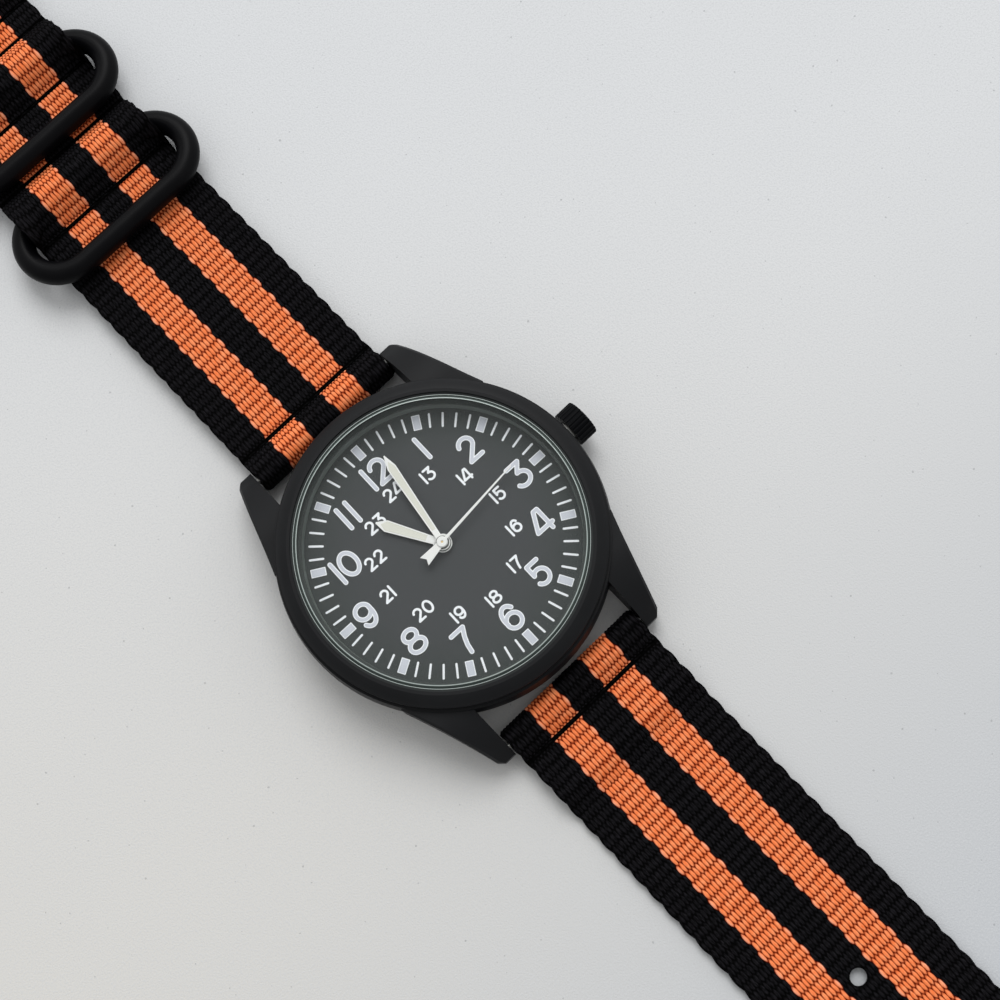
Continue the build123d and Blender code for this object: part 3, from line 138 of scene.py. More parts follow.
class Graph:
    """A tree of shader nodes."""

    def __init__(self, tree: bpy.types.NodeTree) -> None:
        """Hold the tree."""
        self.tree = tree

    def node(
        self,
        kind: str,
        settings: dict[str, object],
        inputs: dict[Union[str, int], object],
        output: Union[str, int] = 0,
    ) -> Wire:
        """Add one node.

        Args:
            kind: The node's type.
            settings: Its own options, which are set first.
            inputs: Values or wires for its sockets, by name or place.
            output: The socket that is handed back.

        Returns:
            A wire from that socket.
        """
        made = self.tree.nodes.new(kind)
        for key, value in settings.items():
            setattr(made, key, value)
        for key, value in inputs.items():
            self.join(value, made.inputs[key])
        return Wire(self, made.outputs[output])

    def join(self, value: object, socket: bpy.types.NodeSocket) -> None:
        """Set a socket to a value, or link a wire to it.

        Args:
            value: A wire, a number, a colour or a vector.
            socket: The socket that takes it.
        """
        if isinstance(value, Wire):
            self.tree.links.new(value.socket, socket)
        else:
            socket.default_value = value

    def maths(self, operation: str, *values: Value) -> Wire:
        """Add a Math node on one or more values."""
        return self.node("ShaderNodeMath", {"operation": operation}, dict(enumerate(values)))

    def mix(self, factor: Value, first: object, second: object) -> Wire:
        """Mix two colours by a factor from 0 to 1."""
        return self.node("ShaderNodeMix", {"data_type": "RGBA"},
                         {0: factor, 6: first, 7: second}, 2)

    def between(self, value: Value, low: Number, high: Number) -> Wire:
        """Rise smoothly from 0 to 1 as a value goes from low to high."""
        return self.node("ShaderNodeMapRange", {"interpolation_type": "SMOOTHSTEP"},
                         {"Value": value, "From Min": low, "From Max": high}, "Result")

    def dot(self, place: Wire, way: tuple[float, float, float]) -> Wire:
        """Measure a place along a way."""
        return self.node("ShaderNodeVectorMath", {"operation": "DOT_PRODUCT"},
                         {0: place, 1: way}, "Value")


class Recipe(Graph):
    """The nodes of one material."""

    def __init__(self, name: str) -> None:
        """Start a material with a bare shader.

        Args:
            name: The material's name.
        """
        self.material = bpy.data.materials.new(name)
        self.material.use_nodes = True
        super().__init__(self.material.node_tree)
        self.shader = self.tree.nodes["Principled BSDF"]
        self.output = self.tree.nodes["Material Output"]

    def place(self) -> Wire:
        """Give the position on the object, in metres."""
        return self.node("ShaderNodeTexCoord", {}, {}, "Object")

    def stretched(self, x: Number, y: Number, z: Number) -> Wire:
        """Give the position multiplied along each axis."""
        return self.node("ShaderNodeVectorMath", {"operation": "MULTIPLY"},
                         {0: self.place(), 1: (x, y, z)})

    def reach(self) -> Wire:
        """Give the distance from the upright line that the hands turn on, in metres."""
        return self.node("ShaderNodeVectorMath", {"operation": "LENGTH"},
                         {0: self.stretched(1.0, 1.0, 0.0)}, "Value")

    def noise(self, where: Wire, scale: Number, detail: Number) -> Wire:
        """Add a noise of about 0.5, its scale in waves for each unit of its place."""
        return self.node("ShaderNodeTexNoise", {},
                         {"Vector": where, "Scale": scale, "Detail": detail}, "Fac")

    def grains(self, size: Number, detail: Number = 3.0) -> Wire:
        """Add a noise on the object, its size in millimetres."""
        return self.noise(self.place(), 1 / (size * MM), detail)

    def attribute(self, name: str) -> Wire:
        """Read a value that the mesh carries at its points."""
        return self.node("ShaderNodeAttribute", {"attribute_name": name}, {}, "Fac")

    def set(self, **values: object) -> None:
        """Set or link the shader's sockets, with words joined by underscores."""
        for key, value in values.items():
            self.join(value, self.shader.inputs[key.replace("_", " ")])

    def bump(self, height: Wire, depth: Number) -> None:
        """Raise the surface.

        Args:
            height: The height from 0 to 1.
            depth: How deep that is, in millimetres.
        """
        self.set(Normal=self.node(
            "ShaderNodeBump",
            {},
            {"Strength": 1.0, "Distance": depth * MM, "Height": height},
            "Normal",
        ))


@dataclass(frozen=True)
class Finish:
    """What every finish has: a name, and nodes that dress its material."""

    name: str

    def dress(self, recipe: Recipe) -> None:
        """Add the finish's nodes; each kind of finish has its own."""
        raise NotImplementedError(self.name)

    def build(self) -> bpy.types.Material:
        """Make the material.

        Returns:
            The material, dressed.
        """
        recipe = Recipe(self.name)
        self.dress(recipe)
        return recipe.material


@dataclass(frozen=True)
class Coated(Finish):
    """Metal or plastic under a matte coat, with a fine grain and rubbed spots."""

    colour: Colour
    worn: Colour
    roughness: float = 0.5
    grain: float = 0.012
    shine: float = 0.16
    grain_size: float = 0.16
    grain_share: float = 0.25
    grain_dulls: float = 0.05
    spot_size: float = 7.0
    spot_edge: Span = (0.42, 0.72)
    spot_share: float = 0.55
    spot_dulls: float = 0.06

    def dress(self, recipe: Recipe) -> None:
        """Lay on the coat.

        Args:
            recipe: The material's nodes.
        """
        fine = recipe.grains(self.grain_size, 4.0)
        rubbed = recipe.grains(self.spot_size).between(*self.spot_edge)
        recipe.set(
            Base_Color=recipe.mix(rubbed * self.spot_share + fine * self.grain_share,
                                  self.colour, self.worn),
            Roughness=self.roughness + rubbed * self.spot_dulls + fine * self.grain_dulls,
            Specular_IOR_Level=self.shine,
        )
        recipe.bump(fine, self.grain)


class Grain(Enum):
    """How a bare metal was worked, with the pitch of its marks in millimetres."""

    TURNED = 0.09
    BRUSHED = 0.07
    PLAIN = 0.12


@dataclass(frozen=True)
class BareMetal(Finish):
    """Uncoated metal, with the marks of its making."""

    colour: Colour
    stain: Colour
    roughness: float = 0.3
    grain: Grain = Grain.PLAIN
    depth: float = 0.006
    mark_dulls: float = 0.12
    brush_draw: float = 0.06
    stain_size: float = 3.0
    stain_edge: Span = (0.35, 0.75)
    stain_share: float = 0.5
    stain_dulls: float = 0.05

    def marks(self, recipe: Recipe) -> Wire:
        """Draw the tool's marks.

        Args:
            recipe: The material's nodes.

        Returns:
            The marks' height, from 0 to 1.
        """
        waves = 1 / (self.grain.value * MM)
        if self.grain is Grain.TURNED:
            ring = recipe.node("ShaderNodeCombineXYZ", {}, {0: recipe.reach()})
            return recipe.noise(ring, waves, 2.0)
        if self.grain is Grain.BRUSHED:
            return recipe.noise(recipe.stretched(self.brush_draw, 1.0, 1.0), waves, 2.0)
        return recipe.noise(recipe.place(), waves, 3.0)

    def dress(self, recipe: Recipe) -> None:
        """Work and stain the metal.

        Args:
            recipe: The material's nodes.
        """
        marks = self.marks(recipe)
        stain = recipe.grains(self.stain_size).between(*self.stain_edge)
        recipe.set(
            Base_Color=recipe.mix(stain * self.stain_share, self.colour, self.stain),
            Metallic=1.0,
            Roughness=self.roughness + marks * self.mark_dulls + stain * self.stain_dulls,
        )
        recipe.bump(marks, self.depth)


@dataclass(frozen=True)
class Printed(Finish):
    """Flat paint or lume: a fine powdery ground of one tone."""

    colour: Colour
    shade: Colour
    roughness: float = 0.55
    shine: float = 0.3
    speck_size: float = 0.07
    speck_share: float = 0.6
    cloud_size: float = 4.0
    cloud_share: float = 0.4
    depth: float = 0.003

    def dress(self, recipe: Recipe) -> None:
        """Lay on the powdery paint.

        Args:
            recipe: The material's nodes.
        """
        speck = recipe.grains(self.speck_size)
        cloud = recipe.grains(self.cloud_size)
        recipe.set(
            Base_Color=recipe.mix(speck * self.speck_share + cloud * self.cloud_share,
                                  self.colour, self.shade),
            Roughness=self.roughness,
            Specular_IOR_Level=self.shine,
        )
        recipe.bump(speck, self.depth)


@dataclass(frozen=True)
class DialGround(Finish):
    """The dial's matte paint, with painted shade that makes it a little greener and darker
    towards its rim.
    """

    middle: Colour
    rim: Colour
    speck: Colour
    fade: Span = (9.0, 17.3)
    roughness: float = 0.66
    shine: float = 0.15
    speck_size: float = 0.09
    speck_edge: Span = (0.55, 0.8)
    speck_share: float = 0.3
    depth: float = 0.0001

    def dress(self, recipe: Recipe) -> None:
        """Lay on the dial's paint.

        Args:
            recipe: The material's nodes.
        """
        # Painted shade: darker and greener towards the rim, under the bezel.
        start, end = self.fade
        ground = recipe.mix(recipe.reach().between(start * MM, end * MM), self.middle,
                            self.rim)
        speck = recipe.grains(self.speck_size, 4.0)
        share = speck.between(*self.speck_edge) * self.speck_share
        recipe.set(
            Base_Color=recipe.mix(share, ground, self.speck),
            Roughness=self.roughness,
            Specular_IOR_Level=self.shine,
        )
        recipe.bump(speck, self.depth)


@dataclass(frozen=True)
class HandPaint(Finish):
    """White paint on a hand, with painted shade on its hub round the arbor, inside a thin
    rim.
    """

    colour: Colour
    hollow: Colour
    hub: float
    hub_edge: float = 0.04
    hollow_share: float = 0.85
    roughness: float = 0.45
    shine: float = 0.3
    speck_size: float = 0.12
    speck_share: float = 0.15
    depth: float = 0.002

    def dress(self, recipe: Recipe) -> None:
        """Paint the hand and put painted shade on its hub.

        Args:
            recipe: The material's nodes.
        """
        start, end = (self.hub - self.hub_edge) * MM, (self.hub + self.hub_edge) * MM
        # Painted shade: the hub is darkened inside its thin rim.
        inside = 1 - recipe.reach().between(start, end)
        speck = recipe.grains(self.speck_size)
        recipe.set(
            Base_Color=recipe.mix(inside * (self.hollow_share + speck * self.speck_share),
                                  self.colour, self.hollow),
            Roughness=self.roughness,
            Specular_IOR_Level=self.shine,
        )
        recipe.bump(speck, self.depth)


@dataclass(frozen=True)
class ClearGlass(Finish):
    """The crystal: clear, with a faint reflection that grows towards its edge."""

    tint: Colour
    gloss: Colour
    mirror: float = 0.017
    mirror_power: int = 5
    roughness: float = 0.03
    smear_size: float = 5.0
    smear_dulls: float = 0.04

    def dress(self, recipe: Recipe) -> None:
        """Mix clear glass with its reflection.

        Args:
            recipe: The material's nodes.
        """
        smear = recipe.grains(self.smear_size)
        facing = recipe.node("ShaderNodeLayerWeight", {}, {"Blend": 0.5}, "Facing")
        mirror = facing ** self.mirror_power * (1 - self.mirror) + self.mirror
        clear = recipe.node("ShaderNodeBsdfTransparent", {}, {"Color": self.tint}, "BSDF")
        recipe.set(
            Base_Color=self.gloss,
            Roughness=self.roughness + smear * self.smear_dulls,
            Metallic=1.0,
        )
        mixed = recipe.node(
            "ShaderNodeMixShader",
            {},
            {0: mirror, 1: clear, 2: Wire(recipe, recipe.shader.outputs[0])},
            "Shader",
        )
        recipe.join(mixed, recipe.output.inputs["Surface"])


@dataclass(frozen=True)
class Weave:
    """The webbing's ribs: warp floats in rows, each row half a float to the side."""

    pitch: float = 0.51
    row: float = 1.36
    band_centre: float = 4.37
    band_reach: float = 2.17
    float_half_width: float = 0.275
    float_half_length: float = 0.82
    relief: float = 0.16

    def family(self, across: np.ndarray, along: np.ndarray, shift: int) -> np.ndarray:
        """Give one family of floats' height.

        Args:
            across: Places across the webbing.
            along: Places along it.
            shift: 0 for the even rows, 1 for the odd rows.

        Returns:
            The height from 0 in a crevice to 1 on a float's back.
        """
        columns = (np.abs(across) - self.band_centre) / self.pitch + 0.5 * shift
        rows = along / (2 * self.row) + 0.5 * shift
        side = (columns - np.round(columns)) * self.pitch / self.float_half_width
        end = (rows - np.round(rows)) * 2 * self.row / self.float_half_length
        return np.clip(1 - side ** 2 - end ** 2, 0, 1) ** 0.5

    def height(self, across: np.ndarray, along: np.ndarray) -> np.ndarray:
        """Give the height of the higher family of floats."""
        return np.maximum(self.family(across, along, 0), self.family(across, along, 1))


@dataclass(frozen=True)
class Bands:
    """The webbing's orange bands, with painted highlight on a float's back and painted shade
    beside it.
    """

    body: Colour
    tip: Colour
    edge: Colour
    low: Colour
    deep: Colour
    back: Span = (0.1, 0.76)
    foot: Span = (0.0, 0.26)
    tip_fibre: Span = (0.35, 0.7)
    tip_blotch: Span = (0.4, 0.7)
    tip_share: float = 0.6
    edge_reach: Span = (1.8, 2.3)
    edge_share: float = 0.55

    def colour(self, recipe: Recipe, from_middle: Wire, height: Wire, fibre: Wire,
               blotch: Wire) -> Wire:
        """Colour the floats of a band, with their painted highlight and painted shade.

        Args:
            recipe: The material's nodes.
            from_middle: The distance from the band's middle line.
            height: The floats' height.
            fibre: The noise of the single fibres.
            blotch: A broader noise.

        Returns:
            The band's colour.
        """
        # Painted highlight: pale tips on the floats, mottled by fibre and blotch noise.
        pale = (fibre.between(*self.tip_fibre) * self.tip_share
                + blotch.between(*self.tip_blotch) * (1 - self.tip_share))
        lit = recipe.mix(pale, self.body, self.tip)
        # Painted highlight on the band's outermost floats.
        lit = recipe.mix(from_middle.between(*self.edge_reach) * self.edge_share, lit,
                         self.edge)
        # Painted shade: the deep colour in a crevice rising to the low colour at a float's
        # base.
        foot = (height * (0.6 + fibre * 0.8)).between(*self.foot)
        low = recipe.mix(foot, self.deep, self.low)
        # The lit float backs laid over their painted shade.
        return recipe.mix((height * (0.5 + fibre)).between(*self.back), low, lit)


@dataclass(frozen=True)
class Woven(Finish):
    """Ribbed nylon, plain or with bands that end between two floats, with painted highlight
    on the floats and painted shade in the crevices and seams.
    """

    weave: Weave
    ground: Colour
    ground_deep: Colour
    bands: Optional[Bands] = None
    sway: float = 0.19
    shine: float = 0.02
    wander_size: float = 1.3
    drift_size: float = 0.9
    blotch_size: float = 1.1
    fibre_draw: Span = (4.0, 0.5)
    fibre_scale: float = 3.2
    back: Span = (0.06, 0.8)
    glint: Span = (0.36, 0.66)
    least_lit: float = 0.12
    seam_edge: Span = (0.08, 0.35)
    sealed_share: float = 0.7
    roughness: float = 0.75
    sealed_smooths: float = 0.35
    float_relief: float = 0.8
    fibre_relief: float = 0.3
    depth: float = 0.1

    def family(self, recipe: Recipe, across: Wire, along: Wire,
               shift: int) -> tuple[Wire, Wire]:
        """Draw one family of floats, as Weave.family does for the mesh.

        Args:
            recipe: The material's nodes.
            across: Places across the webbing.
            along: Places along it.
            shift: 0 for the even rows, 1 for the odd rows.

        Returns:
            The floats' height, and 1 where a float is in a band.
        """
        weave = self.weave
        columns = (across - weave.band_centre) / weave.pitch + 0.5 * shift
        nearest = (columns + 0.5).floor()
        side = (columns - nearest) * (weave.pitch / weave.float_half_width)
        rows = along / (2 * weave.row) + 0.5 * shift
        end = (rows - (rows + 0.5).floor()) * (2 * weave.row / weave.float_half_length)
        height = (1 - side * side - end * end).highest(0.0)
        centre = (nearest - 0.5 * shift) * weave.pitch
        return height, abs(centre).below(weave.band_reach)

    def dress(self, recipe: Recipe) -> None:
        """Weave the floats, bands, seams and sealed edges, with their painted highlight and
        painted shade.

        Args:
            recipe: The material's nodes.
        """
        wander = recipe.grains(self.wander_size, 2.0) - 0.5
        drift = recipe.noise(recipe.stretched(1.0, -1.0, 1.0), 1 / (self.drift_size * MM),
                             2.0) - 0.5
        across = abs(recipe.attribute("across") + wander * self.sway)
        along = recipe.attribute("along") + drift * (2 * self.sway)
        even, even_band = self.family(recipe, across, along, 0)
        odd, odd_band = self.family(recipe, across, along, 1)
        odd_on_top = even.below(odd)
        height = even.highest(odd)
        wide, long = self.fibre_draw
        drawn = recipe.node("ShaderNodeCombineXYZ", {}, {0: across * wide, 1: along * long})
        fibre = recipe.noise(drawn, self.fibre_scale, 4.0)
        blotch = recipe.grains(self.blotch_size, 2.0)
        # Painted light: the floats' backs lit, with glints of painted highlight, and the
        # crevices in painted shade.
        raised = (height * (0.5 + fibre)).between(*self.back)
        glint = fibre.between(*self.glint) * (0.5 + blotch)
        lit = raised * (self.least_lit + glint * (1 - self.least_lit))
        colour = recipe.mix(lit, self.ground_deep, self.ground)
        if self.bands:
            from_middle = abs(across - self.weave.band_centre)
            band = self.bands.colour(recipe, from_middle, height, fibre, blotch)
            in_band = even_band + odd_on_top * (odd_band - even_band)
            colour = recipe.mix(in_band, colour, band)
        sealed = recipe.attribute("sealed")
        # Painted shade in the groove of each pressed seam.
        seam_shade = recipe.attribute("seam").between(*self.seam_edge)
        worked = recipe.mix(seam_shade, colour, self.ground_deep)
        recipe.set(
            Base_Color=recipe.mix(sealed * self.sealed_share, worked, self.ground_deep),
            Roughness=self.roughness - sealed * self.sealed_smooths,
            Specular_IOR_Level=self.shine,
        )
        recipe.bump(height * self.float_relief + fibre * self.fibre_relief, self.depth)


@dataclass(frozen=True)
class Thread(Finish):
    """Sewing thread, twisted from a few strands, with painted shade between them."""

    colour: Colour
    deep: Colour
    twist: float = 1.2
    roughness: float = 0.9
    shine: float = 0.04
    depth: float = 0.03

    def dress(self, recipe: Recipe) -> None:
        """Twist the strands.

        Args:
            recipe: The material's nodes.
        """
        strands = recipe.node(
            "ShaderNodeTexWave",
            {"bands_direction": "DIAGONAL"},
            {"Vector": recipe.place(), "Scale": 1 / (self.twist * MM), "Distortion": 1.0},
            "Fac",
        )
        # Painted shade between the twisted strands.
        recipe.set(
            Base_Color=recipe.mix(strands, self.deep, self.colour),
            Roughness=self.roughness,
            Specular_IOR_Level=self.shine,
        )
        recipe.bump(strands, self.depth)


@dataclass(frozen=True)
class Board(Finish):
    """The pale board that the watch lies on: faint fibres and fine pits, with painted light
    falloff, darker and warmer towards the near side and darker and bluer towards one corner.
    """

    far: Colour
    near: Colour
    corner: Colour
    pit: Colour
    speck: Colour
    reach: float = 75.0
    near_way: tuple[float, float, float] = (-0.7, -0.71, 0.0)
    corner_way: tuple[float, float, float] = (0.03, -1.0, 0.0)
    corner_reach: float = 1.35
    pit_size: float = 0.24
    pit_edge: Span = (0.42, 0.68)
    pit_share: float = 0.5
    cloud_size: float = 25.0
    cloud_share: float = 0.2
    speck_size: float = 0.55
    speck_edge: Span = (0.84, 0.88)
    speck_share: float = 0.35
    roughness: float = 0.9
    shine: float = 0.1
    depth: float = 0.05

    def dress(self, recipe: Recipe) -> None:
        """Tone the board with its painted light falloff, then pit and speckle it.

        Args:
            recipe: The material's nodes.
        """
        pits = recipe.grains(self.pit_size, 5.0)
        specks = recipe.grains(self.speck_size, 0.0)
        cloud = recipe.grains(self.cloud_size, 2.0)
        nearer = recipe.dot(recipe.place(), self.near_way)
        corner = recipe.dot(recipe.place(), self.corner_way)
        reach = self.reach * MM
        # Painted shade: the board darkens towards the near side and towards one corner.
        tone = recipe.mix(nearer.between(-reach, reach), self.far, self.near)
        tone = recipe.mix(corner.between(0.0, self.corner_reach * reach), tone, self.corner)
        pitted = pits.between(*self.pit_edge) * self.pit_share + cloud * self.cloud_share
        tone = recipe.mix(pitted, tone, self.pit)
        speckled = specks.between(*self.speck_edge) * self.speck_share
        recipe.set(
            Base_Color=recipe.mix(speckled, tone, self.speck),
            Roughness=self.roughness,
            Specular_IOR_Level=self.shine,
        )
        recipe.bump(pits, self.depth)


BLACK_COAT = Coated("black_coat", paint(17, 18, 20), paint(23, 24, 26), 0.44)
CROWN_COAT = Coated("crown_coat", paint(6, 7, 9), paint(10, 11, 14), 0.42, shine=0.06)
BLACK_WIRE = Coated("black_wire", paint(6, 6, 8), paint(11, 11, 13), 0.34, 0.006,
                    shine=0.07)
DARK_GASKET = Coated("dark_gasket", paint(42, 45, 45), paint(48, 51, 51), 0.6)
BLACK_RUBBER = Coated("black_rubber", paint(26, 26, 26), paint(34, 34, 34), 0.7)
CASE_BACK = BareMetal("turned_steel", (0.52, 0.52, 0.51, 1), (0.42, 0.41, 0.4, 1), 0.3,
                      Grain.TURNED)
STEEL = BareMetal("brushed_steel", (0.6, 0.6, 0.58, 1), (0.5, 0.49, 0.46, 1), 0.28,
                  Grain.BRUSHED)
BRASS = BareMetal("brass", (0.72, 0.55, 0.28, 1), (0.6, 0.43, 0.2, 1), 0.26)
COPPER = BareMetal("copper_winding", (0.6, 0.28, 0.14, 1), (0.42, 0.17, 0.08, 1), 0.35,
                   Grain.BRUSHED, 0.03)
HOLDER = Coated("holder_plastic", paint(92, 92, 90), paint(104, 104, 101), 0.55, 0.006)
GREEN_BOARD = Coated("green_board", paint(44, 110, 66), paint(60, 126, 78), 0.4, 0.004)
PALE_RING = Printed("pale_ring", paint(74, 83, 80), paint(66, 75, 72), 0.5)
SEAT_GREY = Printed("seat_grey", paint(66, 72, 70), paint(60, 66, 64), 0.6)
# Painted highlight: the light lines at the crystal's edge.
RIM_HIGHLIGHT = Printed("rim_highlight", paint(178, 188, 184), paint(160, 171, 168), 0.25)
RING_GREY = Printed("ring_grey", paint(112, 121, 117), paint(104, 112, 108), 0.5)
# The dial's rim colour is painted shade.
DIAL_PAINT = DialGround("dial_paint", paint(64, 66, 68), paint(58, 63, 62),
                        paint(70, 72, 74))
HAND_WHITE = Printed("hand_white", paint(242, 242, 240), paint(230, 230, 228), 0.35)
# Both hands' hubs carry painted shade round the arbor.
HOUR_WHITE = HandPaint("hour_white_hub_shade", paint(238, 238, 236), paint(52, 52, 50), 1.02)
MINUTE_WHITE = HandPaint("minute_white_hub_shade", paint(240, 240, 238), paint(84, 84, 80), 0.84)
LUME = Printed("lume_cream", paint(236, 236, 226), paint(206, 205, 193), 0.8)
PRINT_WHITE = Printed("print_white", paint(248, 250, 253), paint(238, 240, 245), 0.5)
PRINT_FILL = Printed("print_fill", paint(214, 217, 226), paint(202, 205, 215), 0.6)
CRYSTAL = ClearGlass("crystal_glass", (0.99, 0.995, 0.993, 1), (0.95, 0.97, 0.97, 1))
# The black nylon as lit on the floats' backs, and a near-black used as painted shade in
# crevices and as the melted sealed edges.
BLACK_NYLON_LIT = paint(30, 29, 32)
BLACK_SHADE_AND_MELT = paint(2, 2, 2)
# body: the orange as lit; tip and edge: painted highlight; low and deep: painted shade in the
# crevices.
ORANGE_BANDS = Bands(body=paint(243, 122, 66), tip=paint(255, 162, 112),
                     edge=paint(248, 190, 162), low=paint(136, 44, 16),
                     deep=paint(80, 16, 2))
WEBBING = Woven("webbing", Weave(), BLACK_NYLON_LIT, BLACK_SHADE_AND_MELT, ORANGE_BANDS)
LINING = Woven("lining", Weave(), BLACK_NYLON_LIT, BLACK_SHADE_AND_MELT)
THREAD = Thread("black_thread", paint(9, 9, 10), BLACK_SHADE_AND_MELT)
# far: the board as lit; near and corner: painted light falloff; pit and speck: its grain.
PALE_BOARD = Board("pale_board", paint(217, 219, 221), paint(211, 209, 204),
                   paint(186, 190, 195), paint(202, 204, 206), paint(110, 112, 114))

SLOT_FINISHES = {
    "case_black": BLACK_COAT, "back_steel": CASE_BACK, "gasket_black": BLACK_RUBBER,
    "crystal_glass": CRYSTAL, "gasket_pale": DARK_GASKET, "dial_grey": DIAL_PAINT,
    "ring_grey": RING_GREY, "hand_white": HAND_WHITE, "lume_cream": LUME,
    "wire_black": BLACK_WIRE, "webbing": WEBBING, "lining": LINING, "brass": BRASS,
    "steel": STEEL, "holder_plastic": HOLDER, "board_green": GREEN_BOARD, "copper": COPPER,
}


class Store:
    """Builds each finish once."""

    def __init__(self) -> None:
        """Start empty."""
        self.made: dict[str, bpy.types.Material] = {}

    def get(self, finish: Finish) -> bpy.types.Material:
        """Give a finish's material, made on its first use.

        Args:
            finish: The finish.

        Returns:
            Its material.
        """
        if finish.name not in self.made:
            self.made[finish.name] = finish.build()
        return self.made[finish.name]


def make_piece(
    name: str,
    points: np.ndarray,
    faces: list,
    material: bpy.types.Material,
    smooth: bool = True,
) -> bpy.types.Object:
    """Make a mesh object from points in millimetres.

    Args:
        name: The piece's name.
        points: An array of places, one a row.
        faces: Each face's points, by number.
        material: Its finish.
        smooth: Whether its faces are shaded smooth.

    Returns:
        The new object.
    """
    mesh = bpy.data.meshes.new(name)
    mesh.from_pydata((np.asarray(points) * MM).tolist(), [], faces)
    mesh.polygons.foreach_set("use_smooth", [smooth] * len(mesh.polygons))
    mesh.materials.append(material)
    mesh.update()
    piece = bpy.data.objects.new(name, mesh)
    bpy.context.scene.collection.objects.link(piece)
    return piece


def seat(piece: bpy.types.Object, body: str) -> None:
    """Put a piece on its body, and report it.

    Args:
        piece: The piece.
        body: The body that it rides on.
    """
    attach(piece, body)
    log.info("%s: %d faces on %s", piece.name, len(piece.data.polygons), body)


ARC_STEP = 12.0
HOUR_COUNT = 12
MINUTE_COUNT = 60


def arc(x: float, y: float, wide: float, high: float, start: float, end: float) -> list[Span]:
    """Draw an arc of an ellipse.

    Args:
        x, y: The ellipse's middle.
        wide, high: Its half axes.
        start, end: The arc's ends, in degrees from +X.

    Returns:
        Points about ARC_STEP degrees apart.
    """
    count = max(4, round(abs(end - start) / ARC_STEP))
    angles = np.radians(np.linspace(start, end, count + 1))
    return [(x + wide * math.cos(a), y + high * math.sin(a)) for a in angles]


# Each figure's strokes, in shares of its height between stroke middles.
FIGURES: dict[str, list[list[Span]]] = {
    "0": [arc(0, 0.5, 0.35, 0.5, 0, 360)],
    "1": [[(0, 0), (0, 1)]],
    "2": [arc(0, 0.71, 0.31, 0.29, 168, -32) + [(-0.3, 0), (0.31, 0)]],
    "3": [[(-0.32, 1), (0.28, 1), (-0.05, 0.62)] + arc(-0.03, 0.31, 0.35, 0.31, 90, -150)],
    "4": [[(0.19, 0), (0.19, 1), (0, 1), (-0.44, 0.2), (0.34, 0.2)]],
    "5": [[(0.27, 1), (-0.25, 1), (-0.25, 0.52)] + arc(-0.02, 0.33, 0.33, 0.33, 118, -146)],
    "6": [arc(0, 0.5, 0.33, 0.5, 38, 200), arc(0, 0.32, 0.33, 0.32, 0, 360)],
    "7": [[(-0.32, 1), (0.3, 1), (0.1, 0.66), (-0.03, 0.33), (-0.09, 0)]],
    "8": [arc(0, 0.76, 0.3, 0.24, 0, 360), arc(0, 0.265, 0.355, 0.265, 0, 360)],
    "9": [arc(0, 0.5, 0.33, 0.5, 218, 380), arc(0, 0.68, 0.33, 0.32, 0, 360)],
}


@dataclass(frozen=True)
class Numerals:
    """One ring of numbers: its place and sizes, and each number's own small shift."""

    first: int
    radius: float
    height: float
    stroke: float
    gap: float
    filled: bool
    shifts: dict[int, Span]
    ones_gap: float = 1.4
    figure_width: float = 0.66
    figure_reach: float = 0.45


HOURS = Numerals(1, 12.15, 3.55, 0.6, 0.85, True, {
    2: (-0.3, 0.5), 3: (0.4, -0.08), 7: (0.1, 0.0), 8: (0.1, -0.25), 9: (-0.48, -0.08),
    10: (0.17, -0.06), 12: (0.04, -0.12)})
LATER_HOURS = Numerals(13, 8.75, 1.75, 0.29, 0.5, False, {
    15: (0.18, -0.08), 16: (0.08, 0.0), 17: (0.33, -0.2), 18: (0.0, -0.3), 20: (0.38, 0.0),
    21: (-0.33, 0.0), 22: (0.22, -0.2), 23: (0.0, -0.12), 24: (-0.08, 0.2)})


@dataclass
class Ink:
    """The slabs printed in one tone, and how high they stand on the dial."""

    name: str
    finish: Printed
    thickness: float
    points: list = field(default_factory=list)
    faces: list = field(default_factory=list)


